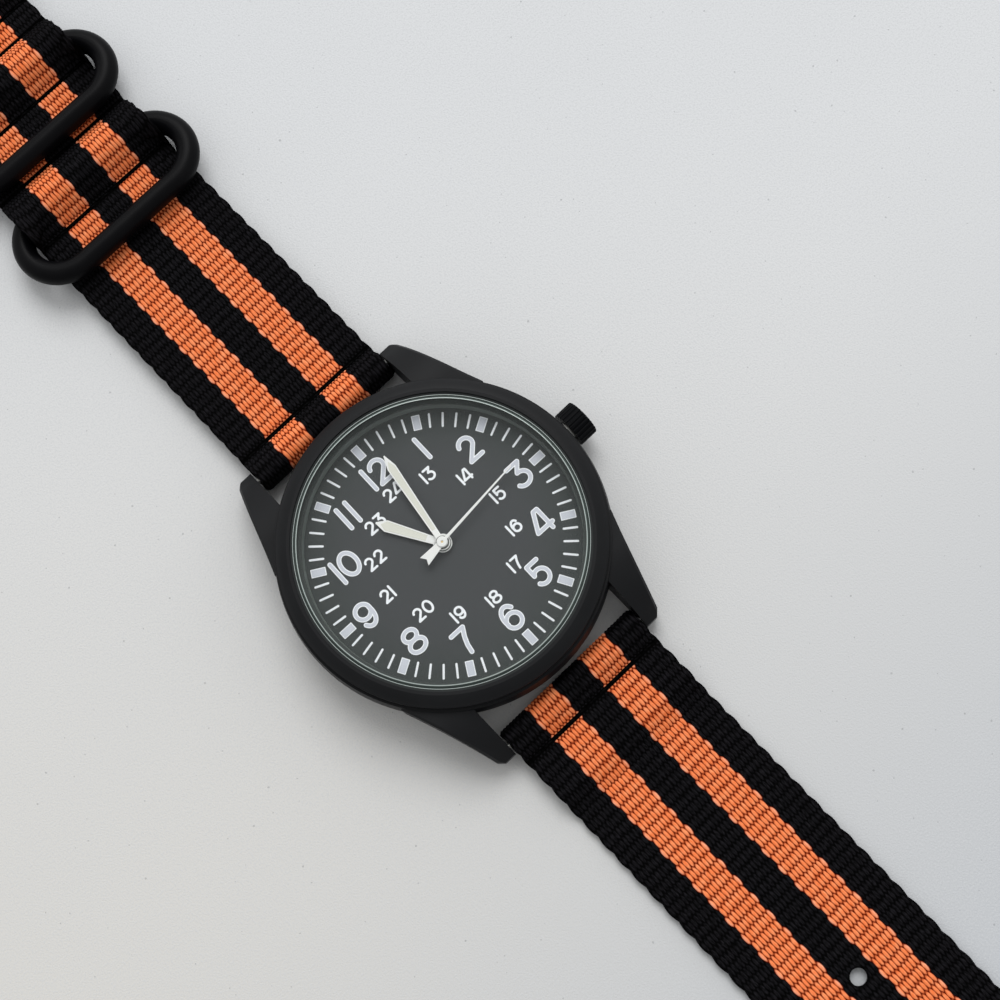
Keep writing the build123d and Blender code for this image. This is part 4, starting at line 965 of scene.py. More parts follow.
@dataclass
class DialPrint:
    """Numerals, blocks and minute marks, printed on the dial in white with a grey fill."""

    store: Store
    white: Ink = field(default_factory=lambda: Ink("dial_print_white", PRINT_WHITE, 0.02))
    grey: Ink = field(default_factory=lambda: Ink("dial_print_fill", PRINT_FILL, 0.032))
    dial_top: float = 6.2
    turn: float = -1.0
    cell: float = 0.07
    mark_radius: float = 15.45
    mark_length: float = 1.9
    mark_reach: float = 1.3
    tick_width: float = 0.27
    block_width: float = 1.05
    outline: float = 0.115
    least_share: float = 0.02

    def lay_out(self, text: str, x: float, y: float, ring: Numerals) -> list[np.ndarray]:
        """Place a number's strokes round a point.

        Args:
            text: The number.
            x, y: Its middle.
            ring: Its ring of numbers.

        Returns:
            Each stroke's points.
        """
        scale = ring.height - ring.stroke
        gap = ring.ones_gap if text == "11" else ring.gap
        widths = [0.0 if figure == "1" else ring.figure_width * scale for figure in text]
        start = x - (sum(widths) + gap * (len(text) - 1)) / 2
        placed = []
        for figure, width in zip(text, widths):
            centre = start + width / 2
            for stroke in FIGURES[figure]:
                placed.append(np.array(stroke) * scale + (centre, y - scale / 2))
            start += width + gap
        return placed

    def distance(self, grid: np.ndarray, lines: list[np.ndarray]) -> np.ndarray:
        """Measure the way to the nearest stroke.

        Args:
            grid: The places to measure from.
            lines: Each stroke's points.

        Returns:
            Each place's distance from the nearest stroke middle.
        """
        best = np.full(grid.shape[:-1], np.inf)
        for line in lines:
            for first, second in zip(line, line[1:]):
                way = second - first
                length = max(float(way @ way), 1e-12)
                share = np.clip(((grid - first) @ way) / length, 0, 1)
                near = first + share[..., None] * way
                best = np.minimum(best, np.linalg.norm(grid - near, axis=-1))
        return best

    def fill(self, height: np.ndarray, xs: np.ndarray,
             ys: np.ndarray) -> tuple[list, list]:
        """Fill the region where a field on a grid is negative, cell by cell.

        Args:
            height: The field, by row and column.
            xs: The columns' places.
            ys: The rows' places.

        Returns:
            Points and faces of the filled outline.
        """
        points: list = []
        known: dict = {}
        faces: list = []

        def corner(row: int, column: int) -> int:
            """Number a grid point.

            Args:
                row, column: The point.

            Returns:
                Its number, new or known.
            """
            key = (row, column)
            if key not in known:
                known[key] = len(points)
                points.append((xs[column], ys[row]))
            return known[key]

        def crossing(one: tuple[int, int], two: tuple[int, int]) -> int:
            """Number the place on a cell's side where the field is zero.

            Args:
                one, two: The side's ends, by row and column.

            Returns:
                Its number, new or known.
            """
            key = (min(one, two), max(one, two))
            if key not in known:
                a, b = height[one], height[two]
                share = min(max(a / (a - b), self.least_share), 1 - self.least_share)
                known[key] = len(points)
                points.append((
                    xs[one[1]] + share * (xs[two[1]] - xs[one[1]]),
                    ys[one[0]] + share * (ys[two[0]] - ys[one[0]]),
                ))
            return known[key]

        rows, columns = height.shape
        inside = height < 0
        for row in range(rows - 1):
            for column in range(columns - 1):
                cell = [(row, column), (row, column + 1), (row + 1, column + 1),
                        (row + 1, column)]
                if not any(inside[place] for place in cell):
                    continue
                face = []
                for one, two in zip(cell, cell[1:] + cell[:1]):
                    if inside[one]:
                        face.append(corner(*one))
                    if inside[one] != inside[two]:
                        face.append(crossing(one, two))
                faces.append(face)
        return points, faces

    def slab(self, shape: np.ndarray, xs: np.ndarray, ys: np.ndarray, ink: Ink) -> None:
        """Fill one shape and add it to an ink as a closed slab.

        Args:
            shape: A field on the grid, negative inside the shape.
            xs: The columns' places.
            ys: The rows' places.
            ink: The ink that takes the slab.
        """
        points, faces = self.fill(shape, xs, ys)
        base = len(ink.points)
        count = len(points)
        for z in (self.dial_top + ink.thickness, self.dial_top):
            ink.points.extend((x, y, z) for x, y in points)
        sides: dict = {}
        for face in faces:
            ink.faces.append([base + i for i in face])
            ink.faces.append([base + count + i for i in reversed(face)])
            for one, two in zip(face, face[1:] + face[:1]):
                if (two, one) in sides:
                    del sides[(two, one)]
                else:
                    sides[(one, two)] = True
        for one, two in sides:
            ink.faces.append([base + two, base + one, base + count + one,
                              base + count + two])

    def stamp(self, shape: Callable[[np.ndarray], np.ndarray], centre: Span, reach: Span,
              level: float, filled: bool) -> None:
        """Print one shape in white and, inside its outline, its grey fill.

        Args:
            shape: Gives each place's distance from the shape's middle line or side.
            centre: The shape's middle.
            reach: How far from its middle the grid goes.
            level: The distance at which the shape ends.
            filled: Whether it has a fill.
        """
        xs, ys = (np.arange(middle - far, middle + far + self.cell, self.cell)
                  for middle, far in zip(centre, reach))
        away = shape(np.stack(np.meshgrid(xs, ys), -1))
        self.slab(away - level, xs, ys, self.white)
        if filled:
            self.slab(away - (level - self.outline), xs, ys, self.grey)

    def add_number(self, hour: int, ring: Numerals) -> None:
        """Print one number at its hour, upright on the dial.

        Args:
            hour: The number.
            ring: Its ring of numbers.
        """
        angle = FULL_TURN * hour / HOUR_COUNT
        shift = ring.shifts.get(hour, (0.0, 0.0))
        x = ring.radius * math.sin(angle) + shift[0]
        y = ring.radius * math.cos(angle) + shift[1]
        lines = self.lay_out(str(hour), x, y, ring)
        reach = (ring.height * ring.figure_reach * len(str(hour)) + ring.stroke,
                 ring.height / 2 + ring.stroke)
        self.stamp(lambda grid: self.distance(grid, lines), (x, y), reach, ring.stroke / 2,
                   ring.filled)

    def add_mark(self, minute: int) -> None:
        """Print one minute mark: a thin line, or a block at each hour.

        Args:
            minute: The minute from 0 to 59.
        """
        angle = FULL_TURN * (1 / 4 - minute / MINUTE_COUNT)
        along = np.array((math.cos(angle), math.sin(angle)))
        across = np.array((-along[1], along[0]))
        middle = along * self.mark_radius
        half = self.mark_length / 2
        tip = along * (half - self.tick_width / 2)
        line = [np.array((middle - tip, middle + tip))]

        def block(grid: np.ndarray) -> np.ndarray:
            """Give the distance past the block's sides."""
            away = np.stack((np.abs((grid - middle) @ along) - half,
                             np.abs((grid - middle) @ across) - self.block_width / 2))
            return away.max(0)

        reach = (self.mark_reach, self.mark_reach)
        if minute % (MINUTE_COUNT // HOUR_COUNT):
            self.stamp(lambda grid: self.distance(grid, line), tuple(middle), reach,
                       self.tick_width / 2, False)
        else:
            self.stamp(block, tuple(middle), reach, 0.0, True)

    def build(self) -> None:
        """Make the white print and its grey filling."""
        for minute in range(MINUTE_COUNT):
            self.add_mark(minute)
        for step in range(HOUR_COUNT):
            for ring in (HOURS, LATER_HOURS):
                self.add_number(ring.first + step, ring)
        turn = math.radians(self.turn)
        sine, cosine = math.sin(turn), math.cos(turn)
        for ink in (self.white, self.grey):
            turned = [(x * cosine - y * sine, x * sine + y * cosine, z)
                      for x, y, z in ink.points]
            piece = make_piece(ink.name, np.array(turned), ink.faces,
                               self.store.get(ink.finish), False)
            seat(piece, "case")


@dataclass
class CrystalRim:
    """The crystal's ground edge and the seat that shows under it.

    The edge is two thin lines of painted highlight round a grey band.
    """

    store: Store
    top: float = 9.25
    seat_height: float = 8.05
    bevel: float = 17.43
    radius: float = 17.76
    gasket_top: float = 9.1
    flange: float = 17.0
    flange_bottom: float = 7.65
    proud: float = 0.012
    inner_line: float = 0.09
    bevel_line: float = 0.03
    outer_line: float = 0.07
    inner_sunk: float = 0.04
    bevel_sunk: float = 0.08
    outer_sunk: float = 0.1
    clearance: float = 0.01
    seat_inset: float = 0.2
    steps: int = 240

    def ring(self, name: str, profile: list[Span], finishes: tuple[Printed, ...],
             second: tuple[int, ...] = ()) -> None:
        """Turn a closed profile round the watch's axis.

        Args:
            name: The piece's name.
            profile: The profile's radii and heights.
            finishes: The finish of its sides, and a second one for some of them.
            second: The sides that take the second finish.
        """
        points = []
        for step in range(self.steps):
            angle = FULL_TURN * step / self.steps
            points += [(r * math.cos(angle), r * math.sin(angle), z) for r, z in profile]
        count = len(profile)
        faces = []
        for step in range(self.steps):
            near, far = step * count, (step + 1) % self.steps * count
            for place in range(count):
                after = (place + 1) % count
                faces.append([near + place, far + place, far + after, near + after])
        piece = make_piece(name, np.array(points), faces, self.store.get(finishes[0]), False)
        for finish in finishes[1:]:
            piece.data.materials.append(self.store.get(finish))
        marked = [int(index % count in second) for index in range(len(faces))]
        piece.data.polygons.foreach_set("material_index", marked)
        seat(piece, "case")

    def build(self) -> None:
        """Make the ring over the crystal's bevel and the one under the crystal."""
        lift = self.proud
        outer = self.radius + self.clearance
        bevel_foot = self.top - outer + self.bevel
        self.ring("crystal_rim", [
            (self.bevel - self.inner_line, self.top + lift),
            (self.bevel + self.bevel_line, self.top - self.bevel_line + lift),
            (outer, bevel_foot + lift),
            (outer, self.gasket_top + lift),
            (outer + self.outer_line, self.gasket_top + lift),
            (outer + self.outer_line, self.gasket_top - self.outer_sunk),
            (outer, bevel_foot - self.bevel_sunk),
            (self.bevel - self.inner_line, self.top - self.inner_sunk),
        ], (RIM_HIGHLIGHT, PALE_RING), (1,))
        seat_outer = self.radius - self.seat_inset
        self.ring("crystal_seat_ring", [
            (self.flange - lift, self.flange_bottom),
            (self.flange - lift, self.seat_height + lift),
            (seat_outer, self.seat_height + lift),
            (seat_outer, self.seat_height - lift),
            (self.flange + lift, self.seat_height - lift),
            (self.flange + lift, self.flange_bottom),
        ], (SEAT_GREY,))


@dataclass
class Belt:
    """The middle line of a strap half seen edge-on: straight runs between round bends.

    A bend is its middle's y and z and its radius, below 0 where the line turns clockwise.
    """

    bends: list[Bend]

    def legs(self) -> list[tuple[float, tuple]]:
        """Split the line into runs and arcs.

        Returns:
            Each one's length, and what it is: a run's start and angle, or an arc's middle,
            radius, first angle and turn.
        """
        runs = []
        for (y, z, radius), (next_y, next_z, next_radius) in zip(self.bends,
                                                                 self.bends[1:]):
            reach = math.hypot(next_y - y, next_z - z)
            turn = math.asin((next_radius - radius) / reach)
            runs.append(math.atan2(next_z - z, next_y - y) - turn)
        legs = []
        ends = []
        for (y, z, radius), before, after in zip(self.bends, runs[:1] + runs,
                                                 runs + runs[-1:]):
            turn = (after - before) % FULL_TURN
            if radius <= 0:
                turn = -((before - after) % FULL_TURN)
            if abs(turn) > FULL_TURN - 1e-6:
                turn = 0.0
            ends.append((y, z, radius, before, turn))
        for index, (y, z, radius, before, turn) in enumerate(ends):
            if radius:
                legs.append((abs(radius * turn), ("arc", y, z, radius, before, turn)))
            if index + 1 < len(ends):
                angle = before + turn
                start = (y + radius * math.sin(angle), z - radius * math.cos(angle))
                far = ends[index + 1]
                end = (far[0] + far[2] * math.sin(angle), far[1] - far[2] * math.cos(angle))
                length = math.hypot(end[0] - start[0], end[1] - start[1])
                legs.append((length, ("run", *start, angle)))
        return legs

    def sample(self, step: float) -> tuple[np.ndarray, np.ndarray]:
        """Walk the line.

        Args:
            step: About how far apart the samples lie.

        Returns:
            The distance walked, and the y, z and angle at each sample.
        """
        legs = self.legs()
        total = sum(length for length, _ in legs)
        along = np.linspace(0, total, max(2, round(total / step)) + 1)
        places = []
        passed = 0.0
        index = 0
        for distance in along:
            while index < len(legs) - 1 and distance > passed + legs[index][0]:
                passed += legs[index][0]
                index += 1
            length, leg = legs[index]
            gone = min(distance - passed, length)
            if leg[0] == "run":
                _, y, z, angle = leg
                places.append((y + gone * math.cos(angle), z + gone * math.sin(angle),
                               angle))
            else:
                _, y, z, radius, before, turn = leg
                angle = before + turn * (gone / length if length else 0)
                places.append((y + radius * math.sin(angle), z - radius * math.cos(angle),
                               angle))
        return along, np.array(places)


@dataclass
class StrapSizes:
    """The strap's sizes, the same as the CAD solids have."""

    half_width: float = 10.9
    web: float = 1.2
    gap: float = 0.05
    bar_y: float = 22.7
    bar_z: float = 2.3
    bar_loop: float = 1.4
    seam_y: float = 25.75
    tail_y: float = 31.0
    seam_bend: float = 1.2
    tail_bend: float = 3.0
    seam_width: float = 0.5
    seam_depth: float = 0.3
    tip_y: float = 142.7
    taper_y: float = 133.0
    nose: float = 4.5
    hole_radius: float = 1.05
    hole_count: int = 8
    hole_pitch: float = 7.5
    first_hole: float = 70.0
    keeper_bars: tuple[float, ...] = (69.1, 85.3)
    keeper_height: float = 2.75
    pocket_loop: float = 2.25
    pocket_half: float = 4.2
    pocket_bend: float = 0.9
    pocket_clearance: float = 0.15
    wire: float = 1.5
    ring_straight: float = 7.6
    ring_span: float = 10.3
    ring_lean: float = 0.136
    ring_lift: float = math.radians(30)
    buckle_y: float = 98.0
    buckle_loop: float = 2.15
    buckle_seam: float = 4.6
    slot_half_width: float = 1.6
    slot_reach: float = 3.9
    lining_start: float = 31.6
    lining_end: float = 90.6
    lining_gap: float = 0.3

    @property
    def low(self) -> float:
        """The height of the lower layer's middle."""
        return self.web / 2

    @property
    def high(self) -> float:
        """The height of the upper layer's middle."""
        return self.web * 1.5 + self.gap

    def bar_bends(self) -> list[Bend]:
        """Lay the line from the sewn tail round the spring bar.

        Returns:
            Its bends.
        """
        return [
            (self.tail_y, self.low, 0.0),
            (self.seam_y + self.seam_width, self.low + self.tail_bend, -self.tail_bend),
            (self.bar_y, self.bar_z, -self.bar_loop),
            (self.seam_y, self.high + self.seam_bend, self.seam_bend),
        ]

    def long_bends(self) -> list[Bend]:
        """Lay the long half's line.

        Returns:
            Its bends.
        """
        return self.bar_bends() + [
            (self.tail_y + self.seam_width, self.high - self.seam_bend, -self.seam_bend),
            (self.tail_y + 3 * self.web, self.low + self.seam_bend, self.seam_bend),
            (self.tip_y, self.low, 0.0),
        ]

    def short_bends(self) -> list[Bend]:
        """Lay the short half's line, up over each ring's bar and round the buckle's.

        Returns:
            Its bends.
        """
        pockets = []
        for bar in self.keeper_bars:
            rest = self.high + self.pocket_bend
            pockets += [
                (bar - self.pocket_half, rest, self.pocket_bend),
                (bar, self.keeper_height, -self.pocket_loop),
                (bar + self.pocket_half, rest, self.pocket_bend),
            ]
        return self.bar_bends() + pockets + [
            (self.buckle_y - self.buckle_seam, self.high + self.pocket_bend,
             self.pocket_bend),
            (self.buckle_y, self.low + self.buckle_loop, -self.buckle_loop),
            (self.lining_end + self.lining_gap, self.low, 0.0),
        ]


def points_of(cells: np.ndarray) -> np.ndarray:
    """Mark the grid points that touch a marked cell.

    Args:
        cells: Which cells of the grid are marked.

    Returns:
        Which of its points are.
    """
    marked = np.zeros((cells.shape[0] + 1, cells.shape[1] + 1), bool)
    halves = (slice(0, -1), slice(1, None))
    for rows in halves:
        for columns in halves:
            marked[rows, columns] |= cells
    return marked


@dataclass
class Webbing:
    """One length of webbing: its ribs in relief, its edges rounded, its seams pressed in."""

    name: str
    side: int
    bends: list[Bend]
    sizes: StrapSizes
    finish: Woven
    seams: tuple[float, ...] = ()
    holes: tuple[float, ...] = ()
    nose: bool = False
    slot: bool = False
    pockets: tuple[float, ...] = ()
    edge: float = 0.6
    edge_thins: float = 0.75
    scallop: float = 0.22
    rows_per_rib: int = 6
    seam_spread: float = 0.55
    hole_seal: float = 0.45
    end_seal: float = 0.5
    seal_flattens: float = 0.8
    least_nose: float = 0.2
    lifts: tuple[float, ...] = (0.0, 0.5, 1.0, 0.0)
    pushes: int = 3
    most_push: float = 0.6
    least_way: float = 0.05
    least_slope: float = 0.2

    @property
    def weave(self) -> Weave:
        """The weave of its finish."""
        return self.finish.weave

    def columns(self) -> np.ndarray:
        """Lay out the places across the webbing.

        Returns:
            The floats' backs, the lines between them, the middle and both edges.
        """
        half = self.weave.pitch / 2
        count = round(self.sizes.half_width / half) + 1
        places = self.weave.band_centre + half * np.arange(-count, count + 1)
        kept = places[(places > half / 2) & (places < self.sizes.half_width - half / 2)]
        right = np.concatenate((kept, [self.sizes.half_width]))
        return np.concatenate((-right[::-1], [0.0], right))

    def half_widths(self, along: np.ndarray, y: np.ndarray) -> np.ndarray:
        """Measure each row: scalloped, and tapered at the nose.

        Args:
            along: How far along the webbing each row is.
            y: Where it is along the watch.

        Returns:
            Each row's half width.
        """
        sizes = self.sizes
        scallop = np.abs(np.cos(math.pi * along / (2 * self.weave.row)))
        widths = sizes.half_width - self.scallop * (1 - scallop)
        if not self.nose:
            return widths
        centre = sizes.tip_y - sizes.nose
        reach = math.hypot(centre - sizes.taper_y, sizes.half_width)
        lean = (math.atan2(sizes.half_width, centre - sizes.taper_y)
                - math.asin(sizes.nose / reach))
        touch_y = centre + sizes.nose * math.sin(lean)
        taper = sizes.half_width - (y - sizes.taper_y) * math.tan(lean)
        ball = np.sqrt(np.clip(sizes.nose ** 2 - (y - centre) ** 2, self.least_nose ** 2,
                               None))
        shape = np.where(y > touch_y, ball, np.where(y > sizes.taper_y, taper, np.inf))
        return np.minimum(widths, shape)

    def swell(self, x: np.ndarray, y: np.ndarray,
              z: np.ndarray) -> tuple[np.ndarray, np.ndarray]:
        """Leave room in the pockets for each ring's wire, lying and lifted.

        The wire's round ends are parts of a torus. Points of the upper layer that are too
        near to its middle line move straight off it, first with the ring lying, then lifted
        by half and in full, and with it lying once more.

        Args:
            x: Places across the webbing.
            y: Places along it.
            z: Their heights.

        Returns:
            The places along and the heights, pushed off the wire.
        """
        sizes = self.sizes
        bend = sizes.ring_span / 2
        side = np.clip(np.abs(x) - sizes.ring_straight, 0, None)
        room = sizes.wire + sizes.pocket_clearance + sizes.web / 2
        upper = z > sizes.web
        for bar in self.pockets:
            for lift in self.lifts:
                lean = sizes.ring_lean + lift * sizes.ring_lift
                sine, cosine = math.sin(lean), math.cos(lean)
                for _ in range(self.pushes):
                    back = (bar - y) * cosine + (z - sizes.keeper_height) * sine
                    rise = (y - bar) * sine + (z - sizes.keeper_height) * cosine
                    reach = np.where(side > 0, np.hypot(side, back - bend), abs(back - bend))
                    past = reach - bend
                    away = np.maximum(np.hypot(past, rise), self.least_way)
                    way = past / away * (back - bend) / np.maximum(reach, self.least_way)
                    up = rise / away
                    short = np.where(upper, np.clip(room - away, 0, self.most_push), 0.0)
                    push = short / np.maximum(way * way + up * up, self.least_slope)
                    back, rise = back + way * push, rise + up * push
                    y = bar - back * cosine + rise * sine
                    z = sizes.keeper_height + back * sine + rise * cosine
        return y, z

    def seam_marks(self, y: np.ndarray, angle: np.ndarray) -> np.ndarray:
        """Press the seams into the upper side.

        Args:
            y: Places along the watch.
            angle: The webbing's slope there.

        Returns:
            How deep a seam is there, from 0 to 1.
        """
        marks = np.zeros_like(y)
        for seam_y in self.seams:
            near = np.exp(-((y - seam_y) / (self.seam_spread * self.sizes.seam_width)) ** 2)
            marks = np.maximum(marks, np.where(np.cos(angle) > 0, near, 0.0))
        return marks

    def punch(self, solid: np.ndarray, x: np.ndarray, y: np.ndarray,
              hole_y: float) -> tuple[np.ndarray, np.ndarray, np.ndarray]:
        """Cut one round hole: drop the cells inside and round the rest to its circle.

        Args:
            solid: Which cells have webbing.
            x: Places across the webbing.
            y: Places along the watch.
            hole_y: The hole's middle.

        Returns:
            The cells that still have webbing, and the places moved.
        """
        radius = self.sizes.hole_radius
        middle_x = (x[:-1, :-1] + x[1:, 1:]) / 2
        middle_y = (y[:-1, :-1] + y[1:, 1:]) / 2
        gone = np.hypot(middle_x, middle_y - hole_y) < radius
        edge = points_of(gone) & points_of(~gone)
        reach = np.maximum(np.hypot(x, y - hole_y), 1e-6)
        scale = np.where(edge, radius / reach, 1.0)
        return solid & ~gone, x * scale, hole_y + (y - hole_y) * scale

    def slot_cells(self, x: np.ndarray, y: np.ndarray) -> np.ndarray:
        """Find the cells that the buckle's tongue swings through.

        Args:
            x: Places across the webbing.
            y: Places along the watch.

        Returns:
            Which cells are in the slot.
        """
        middle_x = np.abs(x[:-1, 1:] + x[:-1, :-1]) / 2
        middle_y = (y[:-1, 1:] + y[1:, 1:]) / 2
        return (middle_y > self.sizes.buckle_y - self.sizes.slot_reach) & (
            middle_x < self.sizes.slot_half_width)

    def build(self, store: Store, body: str, slot_name: str) -> bpy.types.Object:
        """Make the webbing.

        Args:
            store: Where the materials are.
            body: The body that it rides on.
            slot_name: The record's slot; not used.

        Returns:
            The new object.
        """
        sizes, weave = self.sizes, self.weave
        along, place = Belt(self.bends).sample(weave.row / self.rows_per_rib)
        across = self.columns()
        widths = self.half_widths(along, place[:, 0])[:, None]
        x = np.clip(across[None, :], -widths, widths)
        s, y, z, angle = (np.repeat(values[:, None], len(across), 1)
                          for values in (along, *place.T))
        y, z = self.swell(x, y, z)
        seam = self.seam_marks(y, angle)
        solid = x[:-1, 1:] - x[:-1, :-1] + x[1:, 1:] - x[1:, :-1] > 1e-4
        sealed = np.clip(1 - np.minimum(s, along[-1] - s) / self.end_seal, 0, 1)
        for hole_y in self.holes:
            solid, x, y = self.punch(solid, x, y, hole_y)
            away = np.hypot(x, y - hole_y) - sizes.hole_radius
            sealed = np.maximum(sealed, np.clip(1 - away / self.hole_seal, 0, 1))
        if self.slot:
            solid &= ~self.slot_cells(x, y)
        from_edge = np.clip((widths - np.abs(x)) / self.edge, 0, 1)
        half = sizes.web / 2 * np.sqrt(1 - self.edge_thins * (1 - from_edge) ** 2)
        ribs = weave.height(x, s) * (1 - self.seal_flattens * sealed)
        outer = half - weave.relief * (1 - ribs) - sizes.seam_depth * seam
        inner = -(half - weave.relief * (1 - ribs))
        faces = [np.stack((x * self.side, (y - offset * np.sin(angle)) * self.side,
                           z + offset * np.cos(angle)), -1) for offset in (outer, inner)]
        piece = self.shell(store, faces, solid,
                           {"across": x, "along": s, "seam": seam, "sealed": sealed})
        seat(piece, body)
        return piece

    def shell(self, store: Store, points: list[np.ndarray], solid: np.ndarray,
              marks: dict[str, np.ndarray]) -> bpy.types.Object:
        """Close the two faces with walls wherever a cell has no neighbour.

        Args:
            store: Where the materials are.
            points: The upper and the lower face's points.
            solid: Which cells have webbing.
            marks: What the mesh carries at its points, by name.

        Returns:
            The new object.
        """
        rows, columns = points[0].shape[:2]
        number = np.arange(rows * columns).reshape(rows, columns)
        lift = rows * columns
        row, column = np.nonzero(solid)
        a = number[row, column]
        b = number[row, column + 1]
        c = number[row + 1, column + 1]
        d = number[row + 1, column]
        quads = [np.stack((a, d, c, b), 1), np.stack((a, b, c, d), 1) + lift]
        padded = np.pad(solid, 1)
        for (dr, dc), (one, two) in (((-1, 0), (a, b)), ((1, 0), (c, d)),
                                     ((0, -1), (d, a)), ((0, 1), (b, c))):
            open_side = ~padded[row + 1 + dr, column + 1 + dc]
            first, second = one[open_side], two[open_side]
            quads.append(np.stack((first, second, second + lift, first + lift), 1))
        faces = np.concatenate(quads)
        if self.side < 0:
            faces = faces[:, ::-1]
        every = np.concatenate([p.reshape(-1, 3) for p in points])
        piece = make_piece(self.name, every, faces.tolist(), store.get(self.finish))
        for key, values in marks.items():
            layer = piece.data.attributes.new(key, "FLOAT", "POINT")
            layer.data.foreach_set("value", np.tile(values.ravel(), 2).astype(np.float32))
        self.clean(piece.data)
        return piece

    def clean(self, mesh: bpy.types.Mesh) -> None:
        """Join doubled points and drop loose ones.

        Args:
            mesh: The mesh to clean.
        """
        work = bmesh.new()
        work.from_mesh(mesh)
        loose = [vert for vert in work.verts if not vert.link_faces]
        bmesh.ops.delete(work, geom=loose, context="VERTS")
        bmesh.ops.remove_doubles(work, verts=work.verts, dist=1e-7)
        bmesh.ops.recalc_face_normals(work, faces=work.faces)
        work.to_mesh(mesh)
        work.free()
        mesh.update()


@dataclass
class Stitching:
    """The thread of the seams: short stitches lying in the pressed grooves."""

    store: Store
    sizes: StrapSizes
    length: float = 1.5
    pitch: float = 1.85
    radius: float = 0.15
    sink: float = 0.26
    edge_gap: float = 0.5
    blunt: float = 0.06
    dive: float = 1.4
    rings: int = 7
    spokes: int = 8

    def stitch(self, x: float, y: float, z: float) -> tuple[list, list]:
        """Make one stitch: a thread that dives into the webbing at both ends.

        Args:
            x, y, z: The stitch's middle.

        Returns:
            Its points and faces.
        """
        points = []
        for ring in range(self.rings):
            share = ring / (self.rings - 1) * 2 - 1
            swell = math.sqrt(max(self.blunt, 1 - share ** 4))
            dip = self.radius * self.dive * share ** 4
            for spoke in range(self.spokes):
                angle = FULL_TURN * spoke / self.spokes
                points.append((
                    x + share * self.length / 2,
                    y + self.radius * swell * math.cos(angle),
                    z - dip + self.radius * swell * math.sin(angle),
                ))
        faces = []
        for ring in range(self.rings - 1):
            for spoke in range(self.spokes):
                after = (spoke + 1) % self.spokes
                near, far = ring * self.spokes, (ring + 1) * self.spokes
                faces.append([near + spoke, near + after, far + after, far + spoke])
        faces.append(list(range(self.spokes))[::-1])
        faces.append([(self.rings - 1) * self.spokes + k for k in range(self.spokes)])
        return points, faces

    def build(self, name: str, body: str, side: int, seams: tuple[float, ...]) -> None:
        """Sew seams across one strap half.

        Args:
            name: The piece's name.
            body: The body that it rides on.
            side: 1 for the short half and -1 for the long half.
            seams: Each seam's y.
        """
        points: list = []
        faces: list = []
        top = self.sizes.high + self.sizes.web / 2 - self.sink
        count = int(2 * (self.sizes.half_width - self.edge_gap) // self.pitch)
        for y in seams:
            for index in range(count):
                x = (index - (count - 1) / 2) * self.pitch
                new_points, new_faces = self.stitch(x, y * side, top)
                faces += [[len(points) + i for i in face] for face in new_faces]
                points += new_points
        piece = make_piece(name, np.array(points), faces, self.store.get(THREAD))
        seat(piece, body)


@dataclass
class Strap:
    """Both strap halves and the short half's lining."""

    store: Store
    sizes: StrapSizes = field(default_factory=StrapSizes)

    def lay(self, webbing: Webbing, body: str, slot_name: str, node: str) -> None:
        """Make one length of webbing in place of its solid.

        Args:
            webbing: The webbing.
            body: The body that it rides on.
            slot_name: The record's slot.
            node: The node that it replaces.
        """
        piece = webbing.build(self.store, body, slot_name)
        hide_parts(node)
        length = Belt(webbing.bends).sample(1.0)[0][-1]

    def build(self) -> None:
        """Make the webbing and its stitching."""
        sizes = self.sizes
        holes = tuple(sizes.first_hole + index * sizes.hole_pitch
                      for index in range(sizes.hole_count))
        pocket_seams = tuple(bar + way * sizes.pocket_half
                             for bar in sizes.keeper_bars for way in (-1, 1))
        seams = (sizes.seam_y, *pocket_seams, sizes.buckle_y - sizes.buckle_seam)
        flat = [(sizes.lining_start, sizes.low, 0.0), (sizes.lining_end, sizes.low, 0.0)]
        self.lay(Webbing("webbing_long", -1, sizes.long_bends(), sizes, WEBBING,
                         (sizes.seam_y,), holes, nose=True),
                 "long_strap", "webbing", "strap_long")
        self.lay(Webbing("webbing_short", 1, sizes.short_bends(), sizes, WEBBING, seams,
                         slot=True, pockets=sizes.keeper_bars),
                 "short_strap", "webbing", "strap_short")
        self.lay(Webbing("webbing_lining", 1, flat, sizes, LINING, pocket_seams),
                 "short_strap", "lining", "strap_lining")
        thread = Stitching(self.store, sizes)
        thread.build("stitching_long", "long_strap", -1, (sizes.seam_y,))
        thread.build("stitching_short", "short_strap", 1, seams)


@dataclass
class Carried:
    """The rigid CAD pieces, which keep their shape and get their finishes."""

    store: Store
    replaced: tuple[str, ...] = ("strap_long", "strap_short", "strap_lining")
    own_finishes: dict[str, Finish] = field(default_factory=lambda: {
        "crown": CROWN_COAT, "hour_hand": HOUR_WHITE, "minute_hand": MINUTE_WHITE})

    def build(self) -> None:
        """Give every rigid node the finish of its slot."""
        for entry in frame["record"]["subparts"]:
            node, slot_name = entry["node"], entry["material_slot"]
            if node in self.replaced:
                continue
            piece = frame["nodes"][node]
            finish = self.own_finishes.get(node, SLOT_FINISHES[slot_name])
            material = self.store.get(finish)
            for holder in piece.material_slots:
                holder.material = material
            log.info("%s: %s", node, material.name)


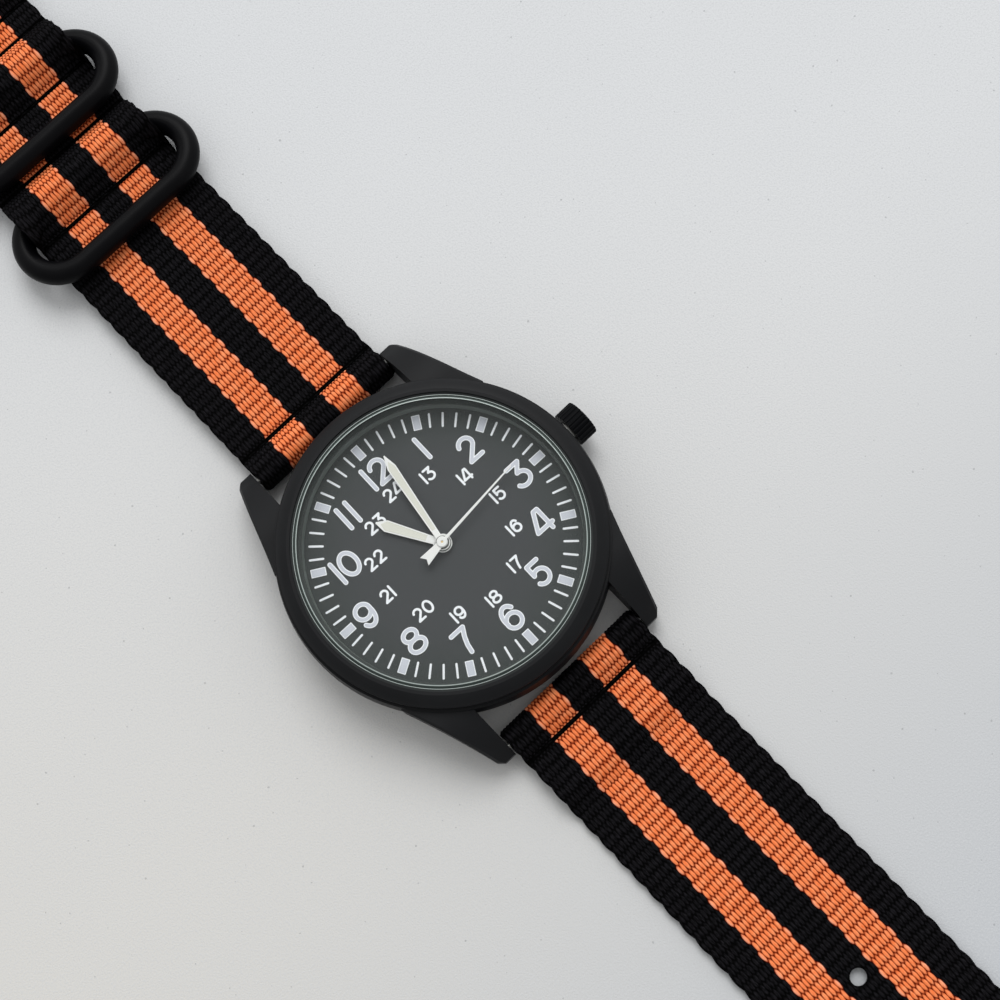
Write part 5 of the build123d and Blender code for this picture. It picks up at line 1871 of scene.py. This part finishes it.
@dataclass
class Studio:
    """The pale board, the soft lights and the camera."""

    store: Store
    board_half: float = 900.0
    eye: tuple[float, float, float] = (-12.092, -41.862, 218.935)
    right: tuple[float, float, float] = (0.72280, -0.68822, -0.0621)
    down: tuple[float, float, float] = (-0.68443, -0.70066, -0.2016)
    view: tuple[float, float, float] = (0.09520, 0.18827, -0.9775)
    lens: float = 64.78
    sensor: float = 36.0
    sky: float = 0.98
    sky_low_share: float = 0.42
    sun: float = 1.45
    sun_height: float = 52.0
    sun_turn: float = 50.0
    sun_spread: float = 38.0
    clip: Span = (10.0, 5000.0)

    def lay_board(self) -> None:
        """Lay the board under the watch."""
        half = self.board_half
        corners = np.array([(-half, -half, 0), (half, -half, 0), (half, half, 0),
                            (-half, half, 0)], float)
        board = make_piece("pale_board", corners, [[0, 1, 2, 3]],
                           self.store.get(PALE_BOARD), False)

    def light_sky(self) -> None:
        """Set a soft sky, brighter on the crown's side."""
        turn = math.radians(self.sun_turn)
        world = bpy.data.worlds.new("soft_sky")
        world.use_nodes = True
        graph = Graph(world.node_tree)
        heading = graph.node("ShaderNodeTexCoord", {}, {}, "Generated")
        towards = graph.dot(heading, (math.cos(turn), math.sin(turn), 0.0))
        share = graph.between(towards, -1.0, 1.0)
        strength = share * (self.sky * (1 - self.sky_low_share))
        background = world.node_tree.nodes["Background"]
        graph.join(strength + self.sky * self.sky_low_share, background.inputs["Strength"])
        graph.join(paint(255, 255, 255), background.inputs["Color"])
        bpy.context.scene.world = world

    def hang_lamp(self) -> None:
        """Hang one broad lamp on the crown's side."""
        lamp = bpy.data.lights.new("broad_lamp", "SUN")
        lamp.energy = self.sun
        lamp.angle = math.radians(self.sun_spread)
        holder = bpy.data.objects.new("broad_lamp", lamp)
        turn, height = math.radians(self.sun_turn), math.radians(self.sun_height)
        towards = Vector((math.cos(height) * math.cos(turn),
                          math.cos(height) * math.sin(turn), math.sin(height)))
        holder.rotation_mode = "QUATERNION"
        holder.rotation_quaternion = towards.to_track_quat("Z", "Y")
        bpy.context.scene.collection.objects.link(holder)

    def set_camera(self) -> None:
        """Stand the camera where the photograph was taken."""
        camera = bpy.data.cameras.new("camera")
        camera.lens = self.lens
        camera.sensor_width = self.sensor
        camera.sensor_fit = "HORIZONTAL"
        camera.clip_start, camera.clip_end = (end * MM for end in self.clip)
        holder = bpy.data.objects.new("camera", camera)
        columns = (Vector(self.right), -Vector(self.down), -Vector(self.view))
        turn = Matrix(columns).transposed().to_4x4()
        holder.matrix_world = Matrix.Translation(Vector(self.eye) * MM) @ turn
        bpy.context.scene.collection.objects.link(holder)
        bpy.context.scene.camera = holder

    def build(self) -> None:
        """Set the whole stage."""
        self.lay_board()
        self.light_sky()
        self.hang_lamp()
        self.set_camera()
        bpy.context.scene.view_settings.view_transform = "Standard"


def main() -> None:
    """Build the stage and every part of the watch."""
    logging.basicConfig(level=logging.INFO, format="%(name)s: %(message)s")
    store = Store()
    Studio(store).build()
    Carried(store).build()
    CrystalRim(store).build()
    DialPrint(store).build()
    Strap(store).build()
    log.info("size written")


if __name__ == "__main__":
    main()
